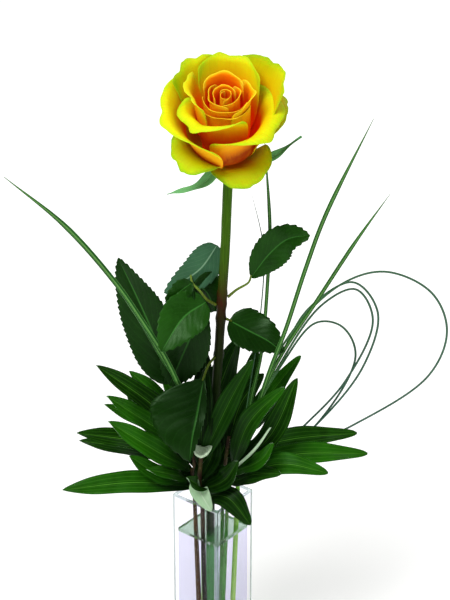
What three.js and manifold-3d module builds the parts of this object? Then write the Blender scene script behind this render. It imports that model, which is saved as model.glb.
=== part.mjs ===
// A rose in a bud vase: one open yellow-orange rose with its leaves, six leafy twigs
// and two tufts of grass, standing in water in a tall square vase of clear glass.
// Millimetres, +Z up. The origin is the middle of the vase's flat base.

import * as THREE from "three";
import Module from "manifold-3d";

const wasm = await Module();
wasm.setup();

// ---------------------------------------------------------------- driving dimensions

const VASE_SIDE = 50;
const VASE_HEIGHT = 200;
const VASE_WALL = 3;
const VASE_FLOOR = 10;
const VASE_CORNER = 2;
const WATER_LEVEL = 164;
const GAP = 0.3; // clearance between neighbours that rest on each other

const BOUQUET_TURN = 38.7; // degrees about +Z from the vase's sides to the bouquet's front
const STEM_FOOT = VASE_FLOOR + 2 * GAP; // height at which every stem stands on the glass

const ROSE_STEM_RADIUS = 4;
const HIP_LENGTH = 14;
const HIP_RADIUS = 6.5;
const BLOOM_BASE = [13, -11, 512.5];
const BLOOM_TILT = 29; // degrees from upright, towards the bouquet's front
const BLOOM_LEAN = -2.5; // degrees to the side
const PETAL_THICKNESS = 0.8;
const LEAF_THICKNESS = 0.7;
const TWIG_RADIUS = 2;
const CUT_HEAD_RADIUS = 8;
const SHEATH_RADIUS = 1.9;
const SLIVER = 0.02; // faces thinner than this are merged into their neighbours

// ---------------------------------------------------------------- finishes

function finish(color, roughness, extra = {}) {
  return new THREE.MeshStandardMaterial({ color, roughness, metalness: 0, ...extra });
}

const CLEAR_GLASS = finish(0xe8eef0, 0.05, { transparent: true, opacity: 0.35 });
const STILL_WATER = finish(0xdfe9ea, 0.05, { transparent: true, opacity: 0.5 });
const ROSE_GREEN = finish(0x3c6a1c, 0.5);
const PETAL_YELLOW = finish(0xf0a808, 0.6);
const ROSE_LEAF_GREEN = finish(0x1d4a1c, 0.45);
const TWIG_LEAF_GREEN = finish(0x17451f, 0.35);
const GRASS_GREEN = finish(0x2f6a28, 0.5);

// ---------------------------------------------------------------- solids from points

/** A closed manifold solid from points and triangles, turned so that its faces point out. */
function solidFrom(points, triangles) {
  let volume = 0;
  for (const [a, b, c] of triangles) {
    volume += points[a].dot(new THREE.Vector3().crossVectors(points[b], points[c]));
  }
  const outward = volume < 0 ? triangles.map(([a, b, c]) => [a, c, b]) : triangles;
  const mesh = new wasm.Mesh({
    numProp: 3,
    vertProperties: new Float32Array(points.flatMap((point) => point.toArray())),
    triVerts: new Uint32Array(outward.flat()),
  });
  return new wasm.Manifold(mesh);
}

/** A closed solid through rings of points, all with the same count, its ends flat. */
function loft(rings) {
  const sides = rings[0].length;
  const points = rings.flat();
  const triangles = [];
  for (let ring = 0; ring < rings.length - 1; ring += 1) {
    for (let side = 0; side < sides; side += 1) {
      const a = ring * sides + side;
      const b = ring * sides + ((side + 1) % sides);
      triangles.push([a, b, b + sides], [a, b + sides, a + sides]);
    }
  }
  const last = (rings.length - 1) * sides;
  for (let side = 1; side < sides - 1; side += 1) {
    triangles.push([0, side + 1, side], [last, last + side, last + side + 1]);
  }
  return solidFrom(points, triangles);
}

/** A thin closed sheet over surface(s, u), with s 0..1 along it and u -1..1 across it. */
function sheet(rows, columns, thickness, surface) {
  const step = 1e-3;
  const upper = [];
  const lower = [];
  for (let row = 0; row <= rows; row += 1) {
    for (let column = 0; column <= columns; column += 1) {
      const s = row / rows;
      const u = (2 * column) / columns - 1;
      const middle = surface(s, u);
      const along = surface(Math.min(s + step, 1), u).sub(surface(Math.max(s - step, 0), u));
      const across = surface(s, Math.min(u + step, 1)).sub(surface(s, Math.max(u - step, -1)));
      const normal = across.cross(along).normalize();
      upper.push(middle.clone().addScaledVector(normal, thickness / 2));
      lower.push(middle.clone().addScaledVector(normal, -thickness / 2));
    }
  }
  const under = upper.length;
  const at = (row, column) => row * (columns + 1) + column;
  const triangles = [];
  for (let row = 0; row < rows; row += 1) {
    for (let column = 0; column < columns; column += 1) {
      const [a, b] = [at(row, column), at(row, column + 1)];
      const [c, d] = [at(row + 1, column + 1), at(row + 1, column)];
      triangles.push([a, b, c], [a, c, d]);
      triangles.push([a + under, c + under, b + under], [a + under, d + under, c + under]);
    }
  }
  const edge = [];
  for (let column = 0; column < columns; column += 1) edge.push(at(0, column));
  for (let row = 0; row < rows; row += 1) edge.push(at(row, columns));
  for (let column = columns; column > 0; column -= 1) edge.push(at(rows, column));
  for (let row = rows; row > 0; row -= 1) edge.push(at(row, 0));
  edge.forEach((a, index) => {
    const b = edge[(index + 1) % edge.length];
    triangles.push([a, a + under, b + under], [a, b + under, b]);
  });
  return solidFrom([...upper, ...lower], triangles);
}

/** Solids joined to one body: loose scraps are dropped and sealed hollows are filled. */
function fuse(solids) {
  const bodies = wasm.Manifold.union(solids).decompose();
  bodies.sort((a, b) => b.volume() - a.volume());
  return bodies[0].simplify(SLIVER);
}

/** A named mesh from a manifold solid. */
function meshOf(name, solid, material) {
  const { vertProperties, triVerts } = solid.getMesh();
  const geometry = new THREE.BufferGeometry();
  geometry.setAttribute("position", new THREE.BufferAttribute(vertProperties, 3));
  geometry.setIndex(new THREE.BufferAttribute(triVerts, 1));
  const mesh = new THREE.Mesh(geometry, material);
  mesh.name = name;
  return mesh;
}

// ---------------------------------------------------------------- curves, stems, leaves

const vector = (point) => new THREE.Vector3(...point);

function curveThrough(points) {
  return new THREE.CatmullRomCurve3(points.map(vector), false, "centripetal");
}

/** The point where a rising curve passes a height. */
function pointAtHeight(curve, height) {
  let low = 0;
  let high = 1;
  while (high - low > 1e-4) {
    const middle = (low + high) / 2;
    if (curve.getPointAt(middle).z < height) low = middle;
    else high = middle;
  }
  return curve.getPointAt(low);
}

/** A round tube along a curve; radius(t) gives its radius with t 0..1. */
function tube(curve, radius, steps, sides = 8) {
  const frames = curve.computeFrenetFrames(steps, false);
  const rings = [];
  for (let step = 0; step <= steps; step += 1) {
    const t = step / steps;
    const centre = curve.getPointAt(t);
    const ring = [];
    for (let side = 0; side < sides; side += 1) {
      const angle = (2 * Math.PI * side) / sides;
      ring.push(
        centre
          .clone()
          .addScaledVector(frames.normals[step], radius(t) * Math.cos(angle))
          .addScaledVector(frames.binormals[step], radius(t) * Math.sin(angle)),
      );
    }
    rings.push(ring);
  }
  return loft(rings);
}

const TWIG_LEAF_FACE = [0, -0.6, 0.8];
const TURNED_OVER = [0, 0.8, -0.5]; // a face that shows the viewer a leaf's underside

/** Half the width of a blade along its length, as a share of its widest half. */
const OUTLINES = {
  lance: (s) => Math.sin(Math.PI * s) ** 0.7,
  ovate: (s) => 2.31 * s ** 0.45 * (1 - s) ** 0.85,
  kite: (s) => Math.sin(Math.PI * s ** 0.85) ** 0.95,
  sepal: (s) => (1 - s) ** 1.6 * (0.8 + 2.2 * s),
};

/**
 * A leaf blade: along are points from root to tip, width its full width, face the way that
 * its upper side looks, and halves the shares of the width that its two halves get. It is
 * folded to a V along the rib, waved, and toothed if asked.
 */
function leaf({ along, width, face = TWIG_LEAF_FACE, outline = "lance", fold = 12, wave = 1,
  teeth = 0, rows = 5, halves = [1, 1] }) {
  const curve = curveThrough(along);
  const looks = vector(face).normalize();
  const rise = Math.tan(THREE.MathUtils.degToRad(fold));
  const count = teeth ? 2 * teeth : rows;
  const surface = (s, u) => {
    const spine = curve.getPointAt(s);
    const forward = curve.getTangentAt(s);
    const side = new THREE.Vector3().crossVectors(forward, looks).normalize();
    const up = new THREE.Vector3().crossVectors(side, forward);
    const tooth = teeth && Math.round(s * count) % 2 ? 1.1 : teeth ? 0.9 : 1;
    const share = OUTLINES[outline](s) * halves[u < 0 ? 0 : 1];
    const half = 0.5 + (width / 2) * share * tooth;
    const ripple = wave * Math.sin(2.5 * Math.PI * s * 2 + 1.5 * Math.sign(u)) * u * u;
    return spine
      .addScaledVector(side, u * half)
      .addScaledVector(up, Math.abs(u) * half * rise + ripple);
  };
  return sheet(count, 2, LEAF_THICKNESS, surface);
}

/** A narrow grass blade of four-cornered section along points; its tip tapers to a point. */
function grassBlade(points, width, steps = 16) {
  const curve = curveThrough(points);
  const frames = curve.computeFrenetFrames(steps, false);
  const thickness = Math.max(0.9, width * 0.35);
  const rings = [];
  for (let step = 0; step <= steps; step += 1) {
    const t = step / steps;
    const taper = Math.min(1, 0.2 + (1 - t) * 5);
    const centre = curve.getPointAt(t);
    const forward = curve.getTangentAt(t);
    const across = new THREE.Vector3().crossVectors(forward, new THREE.Vector3(0, -1, 0));
    if (across.lengthSq() < 0.01) across.copy(frames.normals[step]);
    across.normalize().multiplyScalar((width / 2) * taper);
    const deep = new THREE.Vector3().crossVectors(across, forward);
    deep.normalize().multiplyScalar(thickness / 2);
    rings.push([
      centre.clone().add(across),
      centre.clone().add(deep),
      centre.clone().sub(across),
      centre.clone().sub(deep),
    ]);
  }
  return loft(rings);
}

// ---------------------------------------------------------------- vase and water

function roundedSquare(side, corner) {
  const half = side / 2;
  const shape = new THREE.Shape();
  shape.moveTo(half, corner - half);
  shape.absarc(half - corner, half - corner, corner, 0, Math.PI / 2);
  shape.absarc(corner - half, half - corner, corner, Math.PI / 2, Math.PI);
  shape.absarc(corner - half, corner - half, corner, Math.PI, 1.5 * Math.PI);
  shape.absarc(half - corner, corner - half, corner, 1.5 * Math.PI, 2 * Math.PI);
  return shape;
}

/** An upright prism of square section with rounded edges, between two heights. */
function squarePrism(side, corner, bottom, top) {
  const outline = roundedSquare(side, corner).getPoints(2);
  const points = outline.filter((point, index) => {
    const before = outline[(index + outline.length - 1) % outline.length];
    return point.distanceTo(before) > 1e-6;
  });
  const ringAt = (z) => points.map(({ x, y }) => new THREE.Vector3(x, y, z));
  return loft([ringAt(bottom), ringAt(top)]);
}

function vase() {
  const outside = squarePrism(VASE_SIDE, VASE_CORNER, 0, VASE_HEIGHT);
  const hollow = VASE_SIDE - 2 * VASE_WALL;
  const inside = squarePrism(hollow, VASE_CORNER, VASE_FLOOR, VASE_HEIGHT + 1);
  return outside.subtract(inside);
}

/** A stem's route: straight from its foot to the vase's mouth, then through what is above. */
function stemRoute({ foot, mouth }, above = []) {
  const straight = [0.3, 0.55, 0.82].map((share) => vector(foot).lerp(vector(mouth), share));
  return curveThrough([foot, ...straight.map((point) => point.toArray()), mouth, ...above]);
}

/** The water, with a plain hole right through it for each stem. */
function water(stemCurves) {
  const side = VASE_SIDE - 2 * VASE_WALL - 2 * GAP;
  const body = squarePrism(side, VASE_CORNER, VASE_FLOOR + GAP, WATER_LEVEL);
  const turn = [0, 0, BOUQUET_TURN];
  const holes = stemCurves.map(({ foot, mouth, radius }) => {
    const below = vector(foot).lerp(vector(mouth), -0.02).toArray();
    const line = curveThrough([below, mouth]);
    return tube(line, () => radius + GAP + 0.2, 1, 6).rotate(turn);
  });
  return body.subtract(wasm.Manifold.union(holes));
}

// Where each stem stands on the vase's floor and where it passes the vase's mouth.
const STEMS = {
  rose: { foot: [-3, 1, STEM_FOOT], mouth: [-2, 0, 200], radius: ROSE_STEM_RADIUS },
  twigCut: { foot: [-6, -8, STEM_FOOT], mouth: [-9, -15, 200], radius: 2.4 },
  twigLeft: { foot: [-10, 4, STEM_FOOT], mouth: [-16, 6, 200], radius: TWIG_RADIUS },
  twigLow: { foot: [-11, -4, STEM_FOOT], mouth: [-16, -5, 200], radius: TWIG_RADIUS },
  twigRight: { foot: [6, -5, STEM_FOOT], mouth: [13, -5, 200], radius: TWIG_RADIUS },
  twigHigh: { foot: [5, 5, STEM_FOOT], mouth: [9, 13, 200], radius: TWIG_RADIUS },
  twigBack: { foot: [-2, 14, STEM_FOOT], mouth: [-4, 19, 200], radius: TWIG_RADIUS },
  grassLeft: { foot: [-9, 11, STEM_FOOT], mouth: [-9, 9, 200], radius: SHEATH_RADIUS },
  grassRight: { foot: [15, 3, STEM_FOOT], mouth: [21.5, 5, 200], radius: 2.5 },
};

// ---------------------------------------------------------------- rose stem, hip and sepals

/** The bloom's own axes: right, back and up along its stalk. */
function bloomAxes() {
  const tilt = THREE.MathUtils.degToRad(BLOOM_TILT);
  const lean = THREE.MathUtils.degToRad(BLOOM_LEAN);
  const up = new THREE.Vector3(Math.sin(lean), -Math.sin(tilt), Math.cos(tilt)).normalize();
  const right = new THREE.Vector3(1, 0, 0).addScaledVector(up, -up.x).normalize();
  const back = new THREE.Vector3().crossVectors(up, right);
  return { right, back, up };
}

/** A point in the bloom's own axes brought into the bouquet. */
function inBloom(right, back, up) {
  const axes = bloomAxes();
  return vector(BLOOM_BASE)
    .addScaledVector(axes.right, right)
    .addScaledVector(axes.back, back)
    .addScaledVector(axes.up, up);
}

function roseStem() {
  const hipFoot = inBloom(0, 0, -HIP_LENGTH).toArray();
  const route = stemRoute(STEMS.rose, [[0, 0, 261], [4, -1, 314], [6, -2, 347],
    [8, -3, 384], [11, -4, 437], [12.5, -4, 478], hipFoot]);
  const stem = tube(route, (t) => ROSE_STEM_RADIUS - 0.4 + 0.4 * t, 20);
  const hipLine = curveThrough([inBloom(0, 0, -HIP_LENGTH - 2).toArray(),
    inBloom(0, 0, -GAP).toArray()]);
  const hip = tube(hipLine, (t) => 3.2 + (HIP_RADIUS - 3.2) * Math.sin(Math.PI * t * 0.75), 6, 10);
  const sepals = SEPALS.map(({ azimuth, via, tip }) => {
    const angle = THREE.MathUtils.degToRad(azimuth);
    const root = inBloom(3 * Math.cos(angle), 3 * Math.sin(angle), -5).toArray();
    return leaf({ along: [root, via, tip], width: 11, outline: "sepal", rows: 4 });
  });
  return fuse([stem, hip, ...sepals]);
}

const SEPALS = [
  { azimuth: 190, via: [-8, -14, 489], tip: [-35, -20, 483] },
  { azimuth: 355, via: [44, 0, 505], tip: [71, 8, 521] },
  { azimuth: 40, via: [30, 14, 503], tip: [46, 34, 498] },
  { azimuth: 95, via: [12, 16, 504], tip: [10, 38, 490] },
  { azimuth: 140, via: [-6, 8, 502], tip: [-18, 28, 487] },
];

// ---------------------------------------------------------------- rose bloom

/**
 * Petals from the heart outwards. azimuth: degrees, 0 right, 90 back, 180 left, 270 front.
 * radius and height: where the lip's edge stands off the bloom's axis and base. half: half
 * the width. lean: how far the lip leans out, degrees from the axis. belly: how wide the
 * petal bulges low down. roll: degrees by which the lip curls outwards. skew: how much
 * higher the lip's far side stands than its middle. fall: the share of the petal's length
 * by which its lip falls short at the sides. spiral: how far the far side stands out from
 * the axis beyond the usual. The far side is the one with the higher azimuth.
 */
const PETALS = [
  { azimuth: 210, radius: 3.2, height: 68, half: 8, lean: -4, belly: 8, roll: 10 },
  { azimuth: 20, radius: 5.2, height: 69, half: 11, lean: -2, belly: 10, roll: 20 },
  { azimuth: 120, radius: 8, height: 71, half: 14, lean: 0, belly: 12, roll: 30 },
  { azimuth: 335, radius: 12, height: 70, half: 17, lean: 2, belly: 14, roll: 40 },
  { azimuth: 205, radius: 13, height: 71, half: 18, lean: 3, belly: 16, roll: 40 },
  { azimuth: 97, radius: 16, height: 77, half: 19, lean: 5, belly: 18, roll: 40 },
  { azimuth: 262, radius: 17, height: 67, half: 26, lean: 6, belly: 20, roll: 45 },
  { azimuth: 280, radius: 20, height: 63, half: 25, lean: 8, belly: 22, roll: 50 },
  { azimuth: 354, radius: 22, height: 70, half: 22, lean: 10, belly: 24, roll: 50 },
  { azimuth: 180, radius: 29, height: 76, half: 18.5, lean: 10, belly: 25, roll: 70,
    skew: -3, fall: 0.1, spiral: -6.5 },
  { azimuth: 80, radius: 36, height: 75, half: 27, lean: 19, belly: 28, roll: 60 },
  { azimuth: 228, radius: 37.5, height: 62, half: 36, lean: 36, belly: 30, roll: 100,
    skew: 11, fall: 0.1, spiral: -2 },
  { azimuth: 132, radius: 42.5, height: 73, half: 20, lean: 31, belly: 32, roll: 50,
    skew: -4, fall: 0.14 },
  { azimuth: 36, radius: 49.4, height: 69.6, half: 32.4, lean: 31, belly: 34, roll: 45,
    skew: -8, fall: 0.1 },
  { azimuth: 331, radius: 46, height: 53, half: 46, lean: 50, belly: 36, roll: 100,
    skew: -5, spiral: -8 },
  { azimuth: 194, radius: 49.6, height: 62, half: 45, lean: 36, belly: 36, roll: 68,
    skew: -4, fall: 0.18, spiral: -1 },
  { azimuth: 88, radius: 47, height: 50, half: 31, lean: 66, belly: 34, roll: 50 },
  { azimuth: 18, radius: 49, height: 42, half: 30, lean: 74, belly: 33, roll: 50 },
  { azimuth: 147, radius: 47, height: 42, half: 30, lean: 72, belly: 32, roll: 50 },
  { azimuth: 299.5, radius: 43, height: 9, half: 29, lean: 118, belly: 26, roll: 40,
    skew: 12, fall: 0.45 },
  { azimuth: 217, radius: 48, height: 24.5, half: 26, lean: 115, belly: 28, roll: 35,
    skew: -4, fall: 0.3 },
];
const PETAL_SEATS = [16, 2]; // heights of the innermost and the outermost petal's root
const PETAL_FALL = 0.16;
const CORE = { foot: 2, swell: 6.6, height: 34 }; // the bloom's solid heart below the petals

/** The petal's outline in the plane through the bloom's axis: distance from it and height. */
function petalProfile({ radius, height, lean, belly, roll, seat }, v) {
  const straight = 0.86;
  const angle = THREE.MathUtils.degToRad(lean);
  const curl = 3.5 + radius * 0.06;
  const curled = (turn) => ({
    r: curl * (Math.cos(angle) - Math.cos(angle + turn)),
    h: curl * (Math.sin(angle + turn) - Math.sin(angle)),
  });
  const whole = curled(THREE.MathUtils.degToRad(roll));
  const [endR, endH] = [radius - whole.r, height - whole.h];
  const reach = 0.42 * Math.hypot(endR, endH - seat);
  const along = Math.min(v / straight, 1);
  const [a, b] = [(1 - along) ** 3, 3 * (1 - along) ** 2 * along];
  const [c, d] = [3 * (1 - along) * along ** 2, along ** 3];
  const turned = THREE.MathUtils.degToRad(roll) * Math.max(0, (v - straight) / (1 - straight));
  return {
    r: a * 2 + b * belly + c * (endR - reach * Math.sin(angle)) + d * endR + curled(turned).r,
    h: (a + b) * seat + c * (endH - reach * Math.cos(angle)) + d * endH + curled(turned).h,
  };
}

function petalColumns(half) {
  if (half < 15) return 4;
  return half > 35 ? 6 : 5;
}

function petal(spec, index) {
  const azimuth = THREE.MathUtils.degToRad(spec.azimuth);
  const seat = THREE.MathUtils.lerp(...PETAL_SEATS, index / (PETALS.length - 1));
  const shape = { ...spec, seat };
  const { skew = 0, fall = PETAL_FALL, spiral = 0 } = spec;
  const phase = 1.7 * index;
  const wave = 1.1 * Math.min(1, shape.radius / 25);
  const surface = (s, u) => {
    const v = s ** 0.8 * (1 - fall * Math.abs(u) ** 2.6);
    const { r, h } = petalProfile(shape, v);
    const half = shape.half * (0.2 + 0.8 * Math.sin((Math.PI / 2) * Math.min(1, v / 0.75)));
    const wrap = Math.max(4, r * 1.12);
    const theta = Math.max(-2.3, Math.min(2.3, (u * half) / wrap));
    const imbrication = (0.06 * shape.radius + 0.6 + spiral) * u;
    const ruffle = wave * Math.sin(2.2 * Math.PI * u + phase) * v ** 4;
    const out = r + imbrication * v + ruffle - wrap + wrap * Math.cos(theta);
    const side = wrap * Math.sin(theta);
    const [cos, sin] = [Math.cos(azimuth), Math.sin(azimuth)];
    const rise = h + 0.5 * ruffle + skew * u * v * v;
    return inBloom(out * cos - side * sin, out * sin + side * cos, rise);
  };
  const columns = petalColumns(spec.half);
  return sheet(4, columns, PETAL_THICKNESS, surface);
}

function bloom() {
  const coreLine = curveThrough([[0, 0, 0], [0, 0, CORE.height]].map((point) =>
    inBloom(...point).toArray()));
  const coreRadius = (t) => CORE.foot + CORE.swell * Math.sin(Math.PI * (0.18 + 0.72 * t));
  const core = tube(coreLine, coreRadius, 5, 10);
  return fuse([core, ...PETALS.map(petal)]);
}

// ---------------------------------------------------------------- rose leaves

const TOWARDS_VIEWER = [0, -0.85, 0.5];

const ROSE_LEAVES = {
  rose_leaf_upper_left: {
    stalk: [[3.2, -4.9, 380], [-4, -8, 386], [-10, -8, 394], [-16, -6, 400], [-17.5, 1, 404]],
    leaflets: [
      { along: [[-5, -8, 384], [-23, -18, 375], [-41, -36, 353]], width: 36, teeth: 7 },
      { along: [[4, 9, 427], [-9, 4, 409], [-22, 0, 400], [-39, -3, 390]], width: 27,
        teeth: 6, face: [-0.3, 0.6, -0.7] },
      { along: [[-16, -7, 401], [-27, -6, 392], [-38, -8, 384]], width: 15, teeth: 4 },
      { along: [[-15, -6, 399], [-5, 4, 388], [3, 12, 366]], width: 30, teeth: 4 },
      { along: [[-7, -7, 380], [-17, -8, 354], [-27, -5, 328], [-36, -3, 305]], width: 38,
        teeth: 6, outline: "lance" },
    ],
  },
  rose_leaf_lower_left: {
    stalk: [[-1.5, 0.6, 297], [-9, 5, 298], [-21, 7, 298], [-34, 6, 303]],
    leaflets: [
      { along: [[-34, 6, 302], [-48, 10, 343], [-62, 8, 381], [-76, -2, 420]], width: 42,
        teeth: 9, face: [-0.2, -0.8, 0.4] },
    ],
  },
  rose_leaf_front_left: {
    stalk: [[2.4, -5.2, 333], [-3, -13, 329], [-8, -19, 318]],
    leaflets: [
      { along: [[-7, -18, 319], [-12, -32, 293], [-16, -42, 277], [-19, -48, 257]], width: 50,
        teeth: 8, face: [-0.1, -0.8, 0.6], outline: "kite", halves: [0.25, 1.55] },
    ],
  },
  rose_leaf_upper_right: {
    stalk: [[12.9, -2.3, 386], [20, 3, 390], [30, 7, 395], [32, 8, 401]],
    leaflets: [
      { along: [[32, 8, 399], [47, 4, 422], [61, -2, 437], [78, -10, 444]], width: 28,
        teeth: 8, face: [0.1, -0.8, 0.5], outline: "lance" },
    ],
  },
  rose_leaf_front_right: {
    stalk: [[11.5, -4, 367], [16, -6, 366]],
    leaflets: [
      { along: [[14, -5, 366], [30, -8, 358], [46, -13, 351], [58, -18, 343]], width: 35,
        teeth: 7, face: [0.1, -0.7, 0.7] },
    ],
  },
};

/** A compound rose leaf: a thin stalk with toothed leaflets. */
function roseLeaf({ stalk, leaflets }) {
  const rib = tube(curveThrough(stalk), () => 0.9, 5, 5);
  const blades = leaflets.map((spec) => leaf({ face: TOWARDS_VIEWER, outline: "ovate",
    fold: 12, wave: 0.8, ...spec }));
  return fuse([rib, ...blades]);
}

// ---------------------------------------------------------------- leafy twigs

/**
 * Twigs: points above the vase's mouth, and leaves as height on the twig, via, tip, width
 * and, if it isn't the usual one, the way that the upper side looks.
 */
const TWIGS = {
  twig_left: {
    stem: "twigLeft",
    above: [[-16, 6, 225], [-18, 5, 244]],
    leaves: [
      [242, [-49, -2, 284], [-95, -18, 331], 19],
      [240, [-53, 20, 288], [-71, 27, 303], 17],
      [238, [-51, -14, 273], [-86, -36, 312], 18],
      [234, [-53, 6, 263], [-91, 2, 284], 15],
      [230, [-55, -4, 250], [-113, -22, 270], 18],
      [226, [-54, 9, 235], [-114, 6, 247], 16],
      [232, [-45, 16, 258], [-74, 38, 276], 22],
    ],
  },
  twig_left_low: {
    stem: "twigLow",
    above: [[-17, -6, 212], [-18, -8, 228]],
    leaves: [
      [226, [-44, -28, 254], [-84, -52, 297], 20],
      [222, [-42, -18, 226], [-70, -19, 246], 15],
      [216, [-36, -33, 237], [-54, -46, 249], 12],
      [208, [-67, -22, 222], [-126, -34, 222], 20],
      [212, [-50, -2, 212], [-91, 10, 205], 15],
    ],
  },
  twig_cut: {
    stem: "twigCut",
    above: [[-11, -19, 223], [-9, -24, 255]],
    head: [[[-9.4, -23, 248], [-9, -24.4, 256.5]]],
    leaves: [
      [204, [13, -34, 214], [32, -44, 194], 19],
      [212, [-12, -38, 229], [-21, -46, 241], 13],
      [211, [10, -30, 229], [21, -38, 252], 17],
      [214, [-12, -34, 223], [-1, -45, 208], 14, TURNED_OVER],
      [208, [0, -13, 217], [12, -12, 232], 17],
      [206, [-8, -11, 222], [-4, -9, 243], 15],
      [222, [-2, -12, 238], [4, -10, 262], 16],
      [236, [-8, -15, 292], [-5, -11, 326], 18],
      [240, [15, -20, 300], [33, -22, 338], 17],
    ],
  },
  twig_right: {
    stem: "twigRight",
    above: [[15, -6, 214], [17, -6, 232]],
    leaves: [
      [226, [70, -2, 238], [133, 8, 233], 19],
      [218, [60, -22, 240], [97, -28, 235], 19],
      [212, [36, -24, 231], [57, -34, 238], 17],
      [228, [48, -14, 262], [70, -14, 317], 19],
      [230, [32, -26, 284], [59, -32, 318], 18],
      [222, [41, -31, 250], [50, -36, 268], 14],
      [224, [37, -34, 263.5], [48, -36, 283], 1.2, TURNED_OVER],
    ],
  },
  twig_right_high: {
    stem: "twigHigh",
    above: [[11, 14, 222], [14, 15, 246]],
    leaves: [
      [226, [66, 20, 240], [125, 28, 242], 19],
      [240, [46, 28, 276], [75, 36, 313], 16],
      [238, [42, 36, 258], [58, 56, 262], 15],
      [242, [29, 28, 284], [38, 42, 318], 17],
      [234, [30, 44, 240], [48, 72, 236], 16],
      [232, [24, 22, 274], [43, 24, 302], 20],
    ],
  },
  twig_back: {
    stem: "twigBack",
    above: [[-6, 22, 222], [-6, 24, 248]],
    leaves: [
      [244, [-8, 26, 284], [-5, 30, 318], 18],
      [240, [6, 34, 284], [22, 32, 332], 24],
      [236, [-26, 40, 262], [-44, 58, 282], 17],
      [230, [-8, 52, 252], [-14, 84, 262], 17],
      [226, [14, 54, 246], [26, 84, 252], 17],
      [212, [2, 31, 244], [8, 36, 290], 22],
      [210, [-20, 28, 236], [-30, 32, 276], 22],
      [218, [-30, 40, 224], [-60, 58, 216], 17],
      [205, [-13, 30, 222], [-19, 34, 242], 22],
      [207, [8, 31, 221], [13, 33, 240], 26],
    ],
  },
};

function twig({ stem, above, leaves, head = [] }) {
  const curve = stemRoute(STEMS[stem], above);
  const { radius } = STEMS[stem];
  const wood = tube(curve, (t) => radius * (1 - 0.25 * t), 10, 6);
  const blades = leaves.map(([height, via, tip, width, face]) =>
    leaf({ along: [pointAtHeight(curve, height).toArray(), via, tip], width, face }));
  const flare = head.map((points) => tube(curveThrough(points),
    (t) => radius + (CUT_HEAD_RADIUS - radius) * Math.sin((Math.PI / 2) * t), 2, 7));
  return fuse([wood, ...blades, ...flare]);
}

// ---------------------------------------------------------------- grasses

/** Grass tufts: blades as a width and points above the vase's mouth. */
const GRASSES = {
  grass_left: {
    stem: "grassLeft",
    blades: [
      [4.6, [[-11, 7, 235], [-15, -1, 263], [-24, -13, 299], [-38, -23, 340], [-57, -29, 378],
        [-76, -32, 411], [-114, -38, 463], [-159, -45, 507]]],
      [3.6, [[-10, 8, 240], [-17, 1, 278], [-28, -9, 310], [-42, -17, 339], [-60, -24, 379],
        [-89, -28, 429]]],
    ],
  },
  grass_right: {
    stem: "grassRight",
    blades: [
      [3.6, [[24, 4, 236], [34, -2, 270], [47, -18, 325], [60, -26, 369], [75, -22, 420],
        [90, -16, 463], [126, -10, 542]]],
      [3.4, [[26, 4, 236], [44, 2, 300], [60, 0, 337], [85, 0, 380], [116, 0, 434],
        [142, -2, 476]]],
      [3, [[24, 6, 236], [33, 9, 287], [41, 10, 329], [46, 12, 401], [47, 12, 440],
        [42, 14, 516]]],
      [1, [[24, 8, 240], [31, 14, 290], [40, 18, 359], [42, 20, 420], [31, 20, 473]]],
      [1.9, [[28, 4, 246], [60, 6, 340], [105, 8, 392], [141, 8, 404], [180, 10, 385],
        [196, 14, 347], [183, 18, 303], [122, 30, 249], [70, 34, 220], [27, 9, 208],
        [21.6, 5.1, 203]]],
      [1.9, [[30, 8, 250], [60, 12, 331], [81, 14, 369], [116, 16, 391], [138, 20, 362],
        [128, 24, 309], [90, 34, 247], [60, 32, 220], [25.5, 8.5, 209], [21.2, 5.5, 203.5]]],
      [1.9, [[27, 10, 246], [57, 18, 314], [92, 22, 368], [119, 24, 381], [135, 28, 351],
        [114, 32, 291], [77, 36, 242], [50, 30, 217], [25, 8, 206.5], [21.3, 5, 201.8]]],
      [1.9, [[26, 12, 246], [59, 24, 311], [87, 28, 348], [109, 32, 343], [122, 34, 314],
        [91, 38, 246], [56, 32, 217], [27, 7.2, 206], [21.6, 4.6, 201.2]]],
    ],
  },
};

function grassTuft({ stem, blades }) {
  const { foot, mouth, radius } = STEMS[stem];
  const neck = vector(foot).lerp(vector(mouth), 0.93).toArray();
  const sheath = tube(stemRoute(STEMS[stem]), (t) => radius * (1 - 0.2 * t), 4, 7);
  return fuse([sheath, ...blades.map(([width, points]) =>
    grassBlade([neck, mouth, ...points], width, 1 + Math.round(1.3 * points.length)))]);
}

// ---------------------------------------------------------------- the whole bouquet

const part = new THREE.Group();
part.add(meshOf("vase", vase(), CLEAR_GLASS));
part.add(meshOf("water", water(Object.values(STEMS)), STILL_WATER));

const bouquet = new THREE.Group();
bouquet.rotation.z = THREE.MathUtils.degToRad(BOUQUET_TURN);
bouquet.add(meshOf("rose_stem", roseStem(), ROSE_GREEN));
bouquet.add(meshOf("rose_bloom", bloom(), PETAL_YELLOW));
for (const [name, spec] of Object.entries(ROSE_LEAVES)) {
  bouquet.add(meshOf(name, roseLeaf(spec), ROSE_LEAF_GREEN));
}
for (const [name, spec] of Object.entries(TWIGS)) {
  bouquet.add(meshOf(name, twig(spec), TWIG_LEAF_GREEN));
}
for (const [name, spec] of Object.entries(GRASSES)) {
  bouquet.add(meshOf(name, grassTuft(spec), GRASS_GREEN));
}
part.add(bouquet);

export default part;
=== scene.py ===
"""A rose in a bud vase: one open yellow-orange rose with its leaves, six leafy twigs and two
tufts of grass, standing in water in a tall square vase of clear glass.

Lengths in the tables are millimetres. Plants are laid out in the bouquet's own frame: x to
the right, y away from the bouquet's front, z up. placed() brings a point of it to the part's
frame, in metres.
"""

import functools
import math
import random

import bpy
from mathutils import Matrix, Vector


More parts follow.
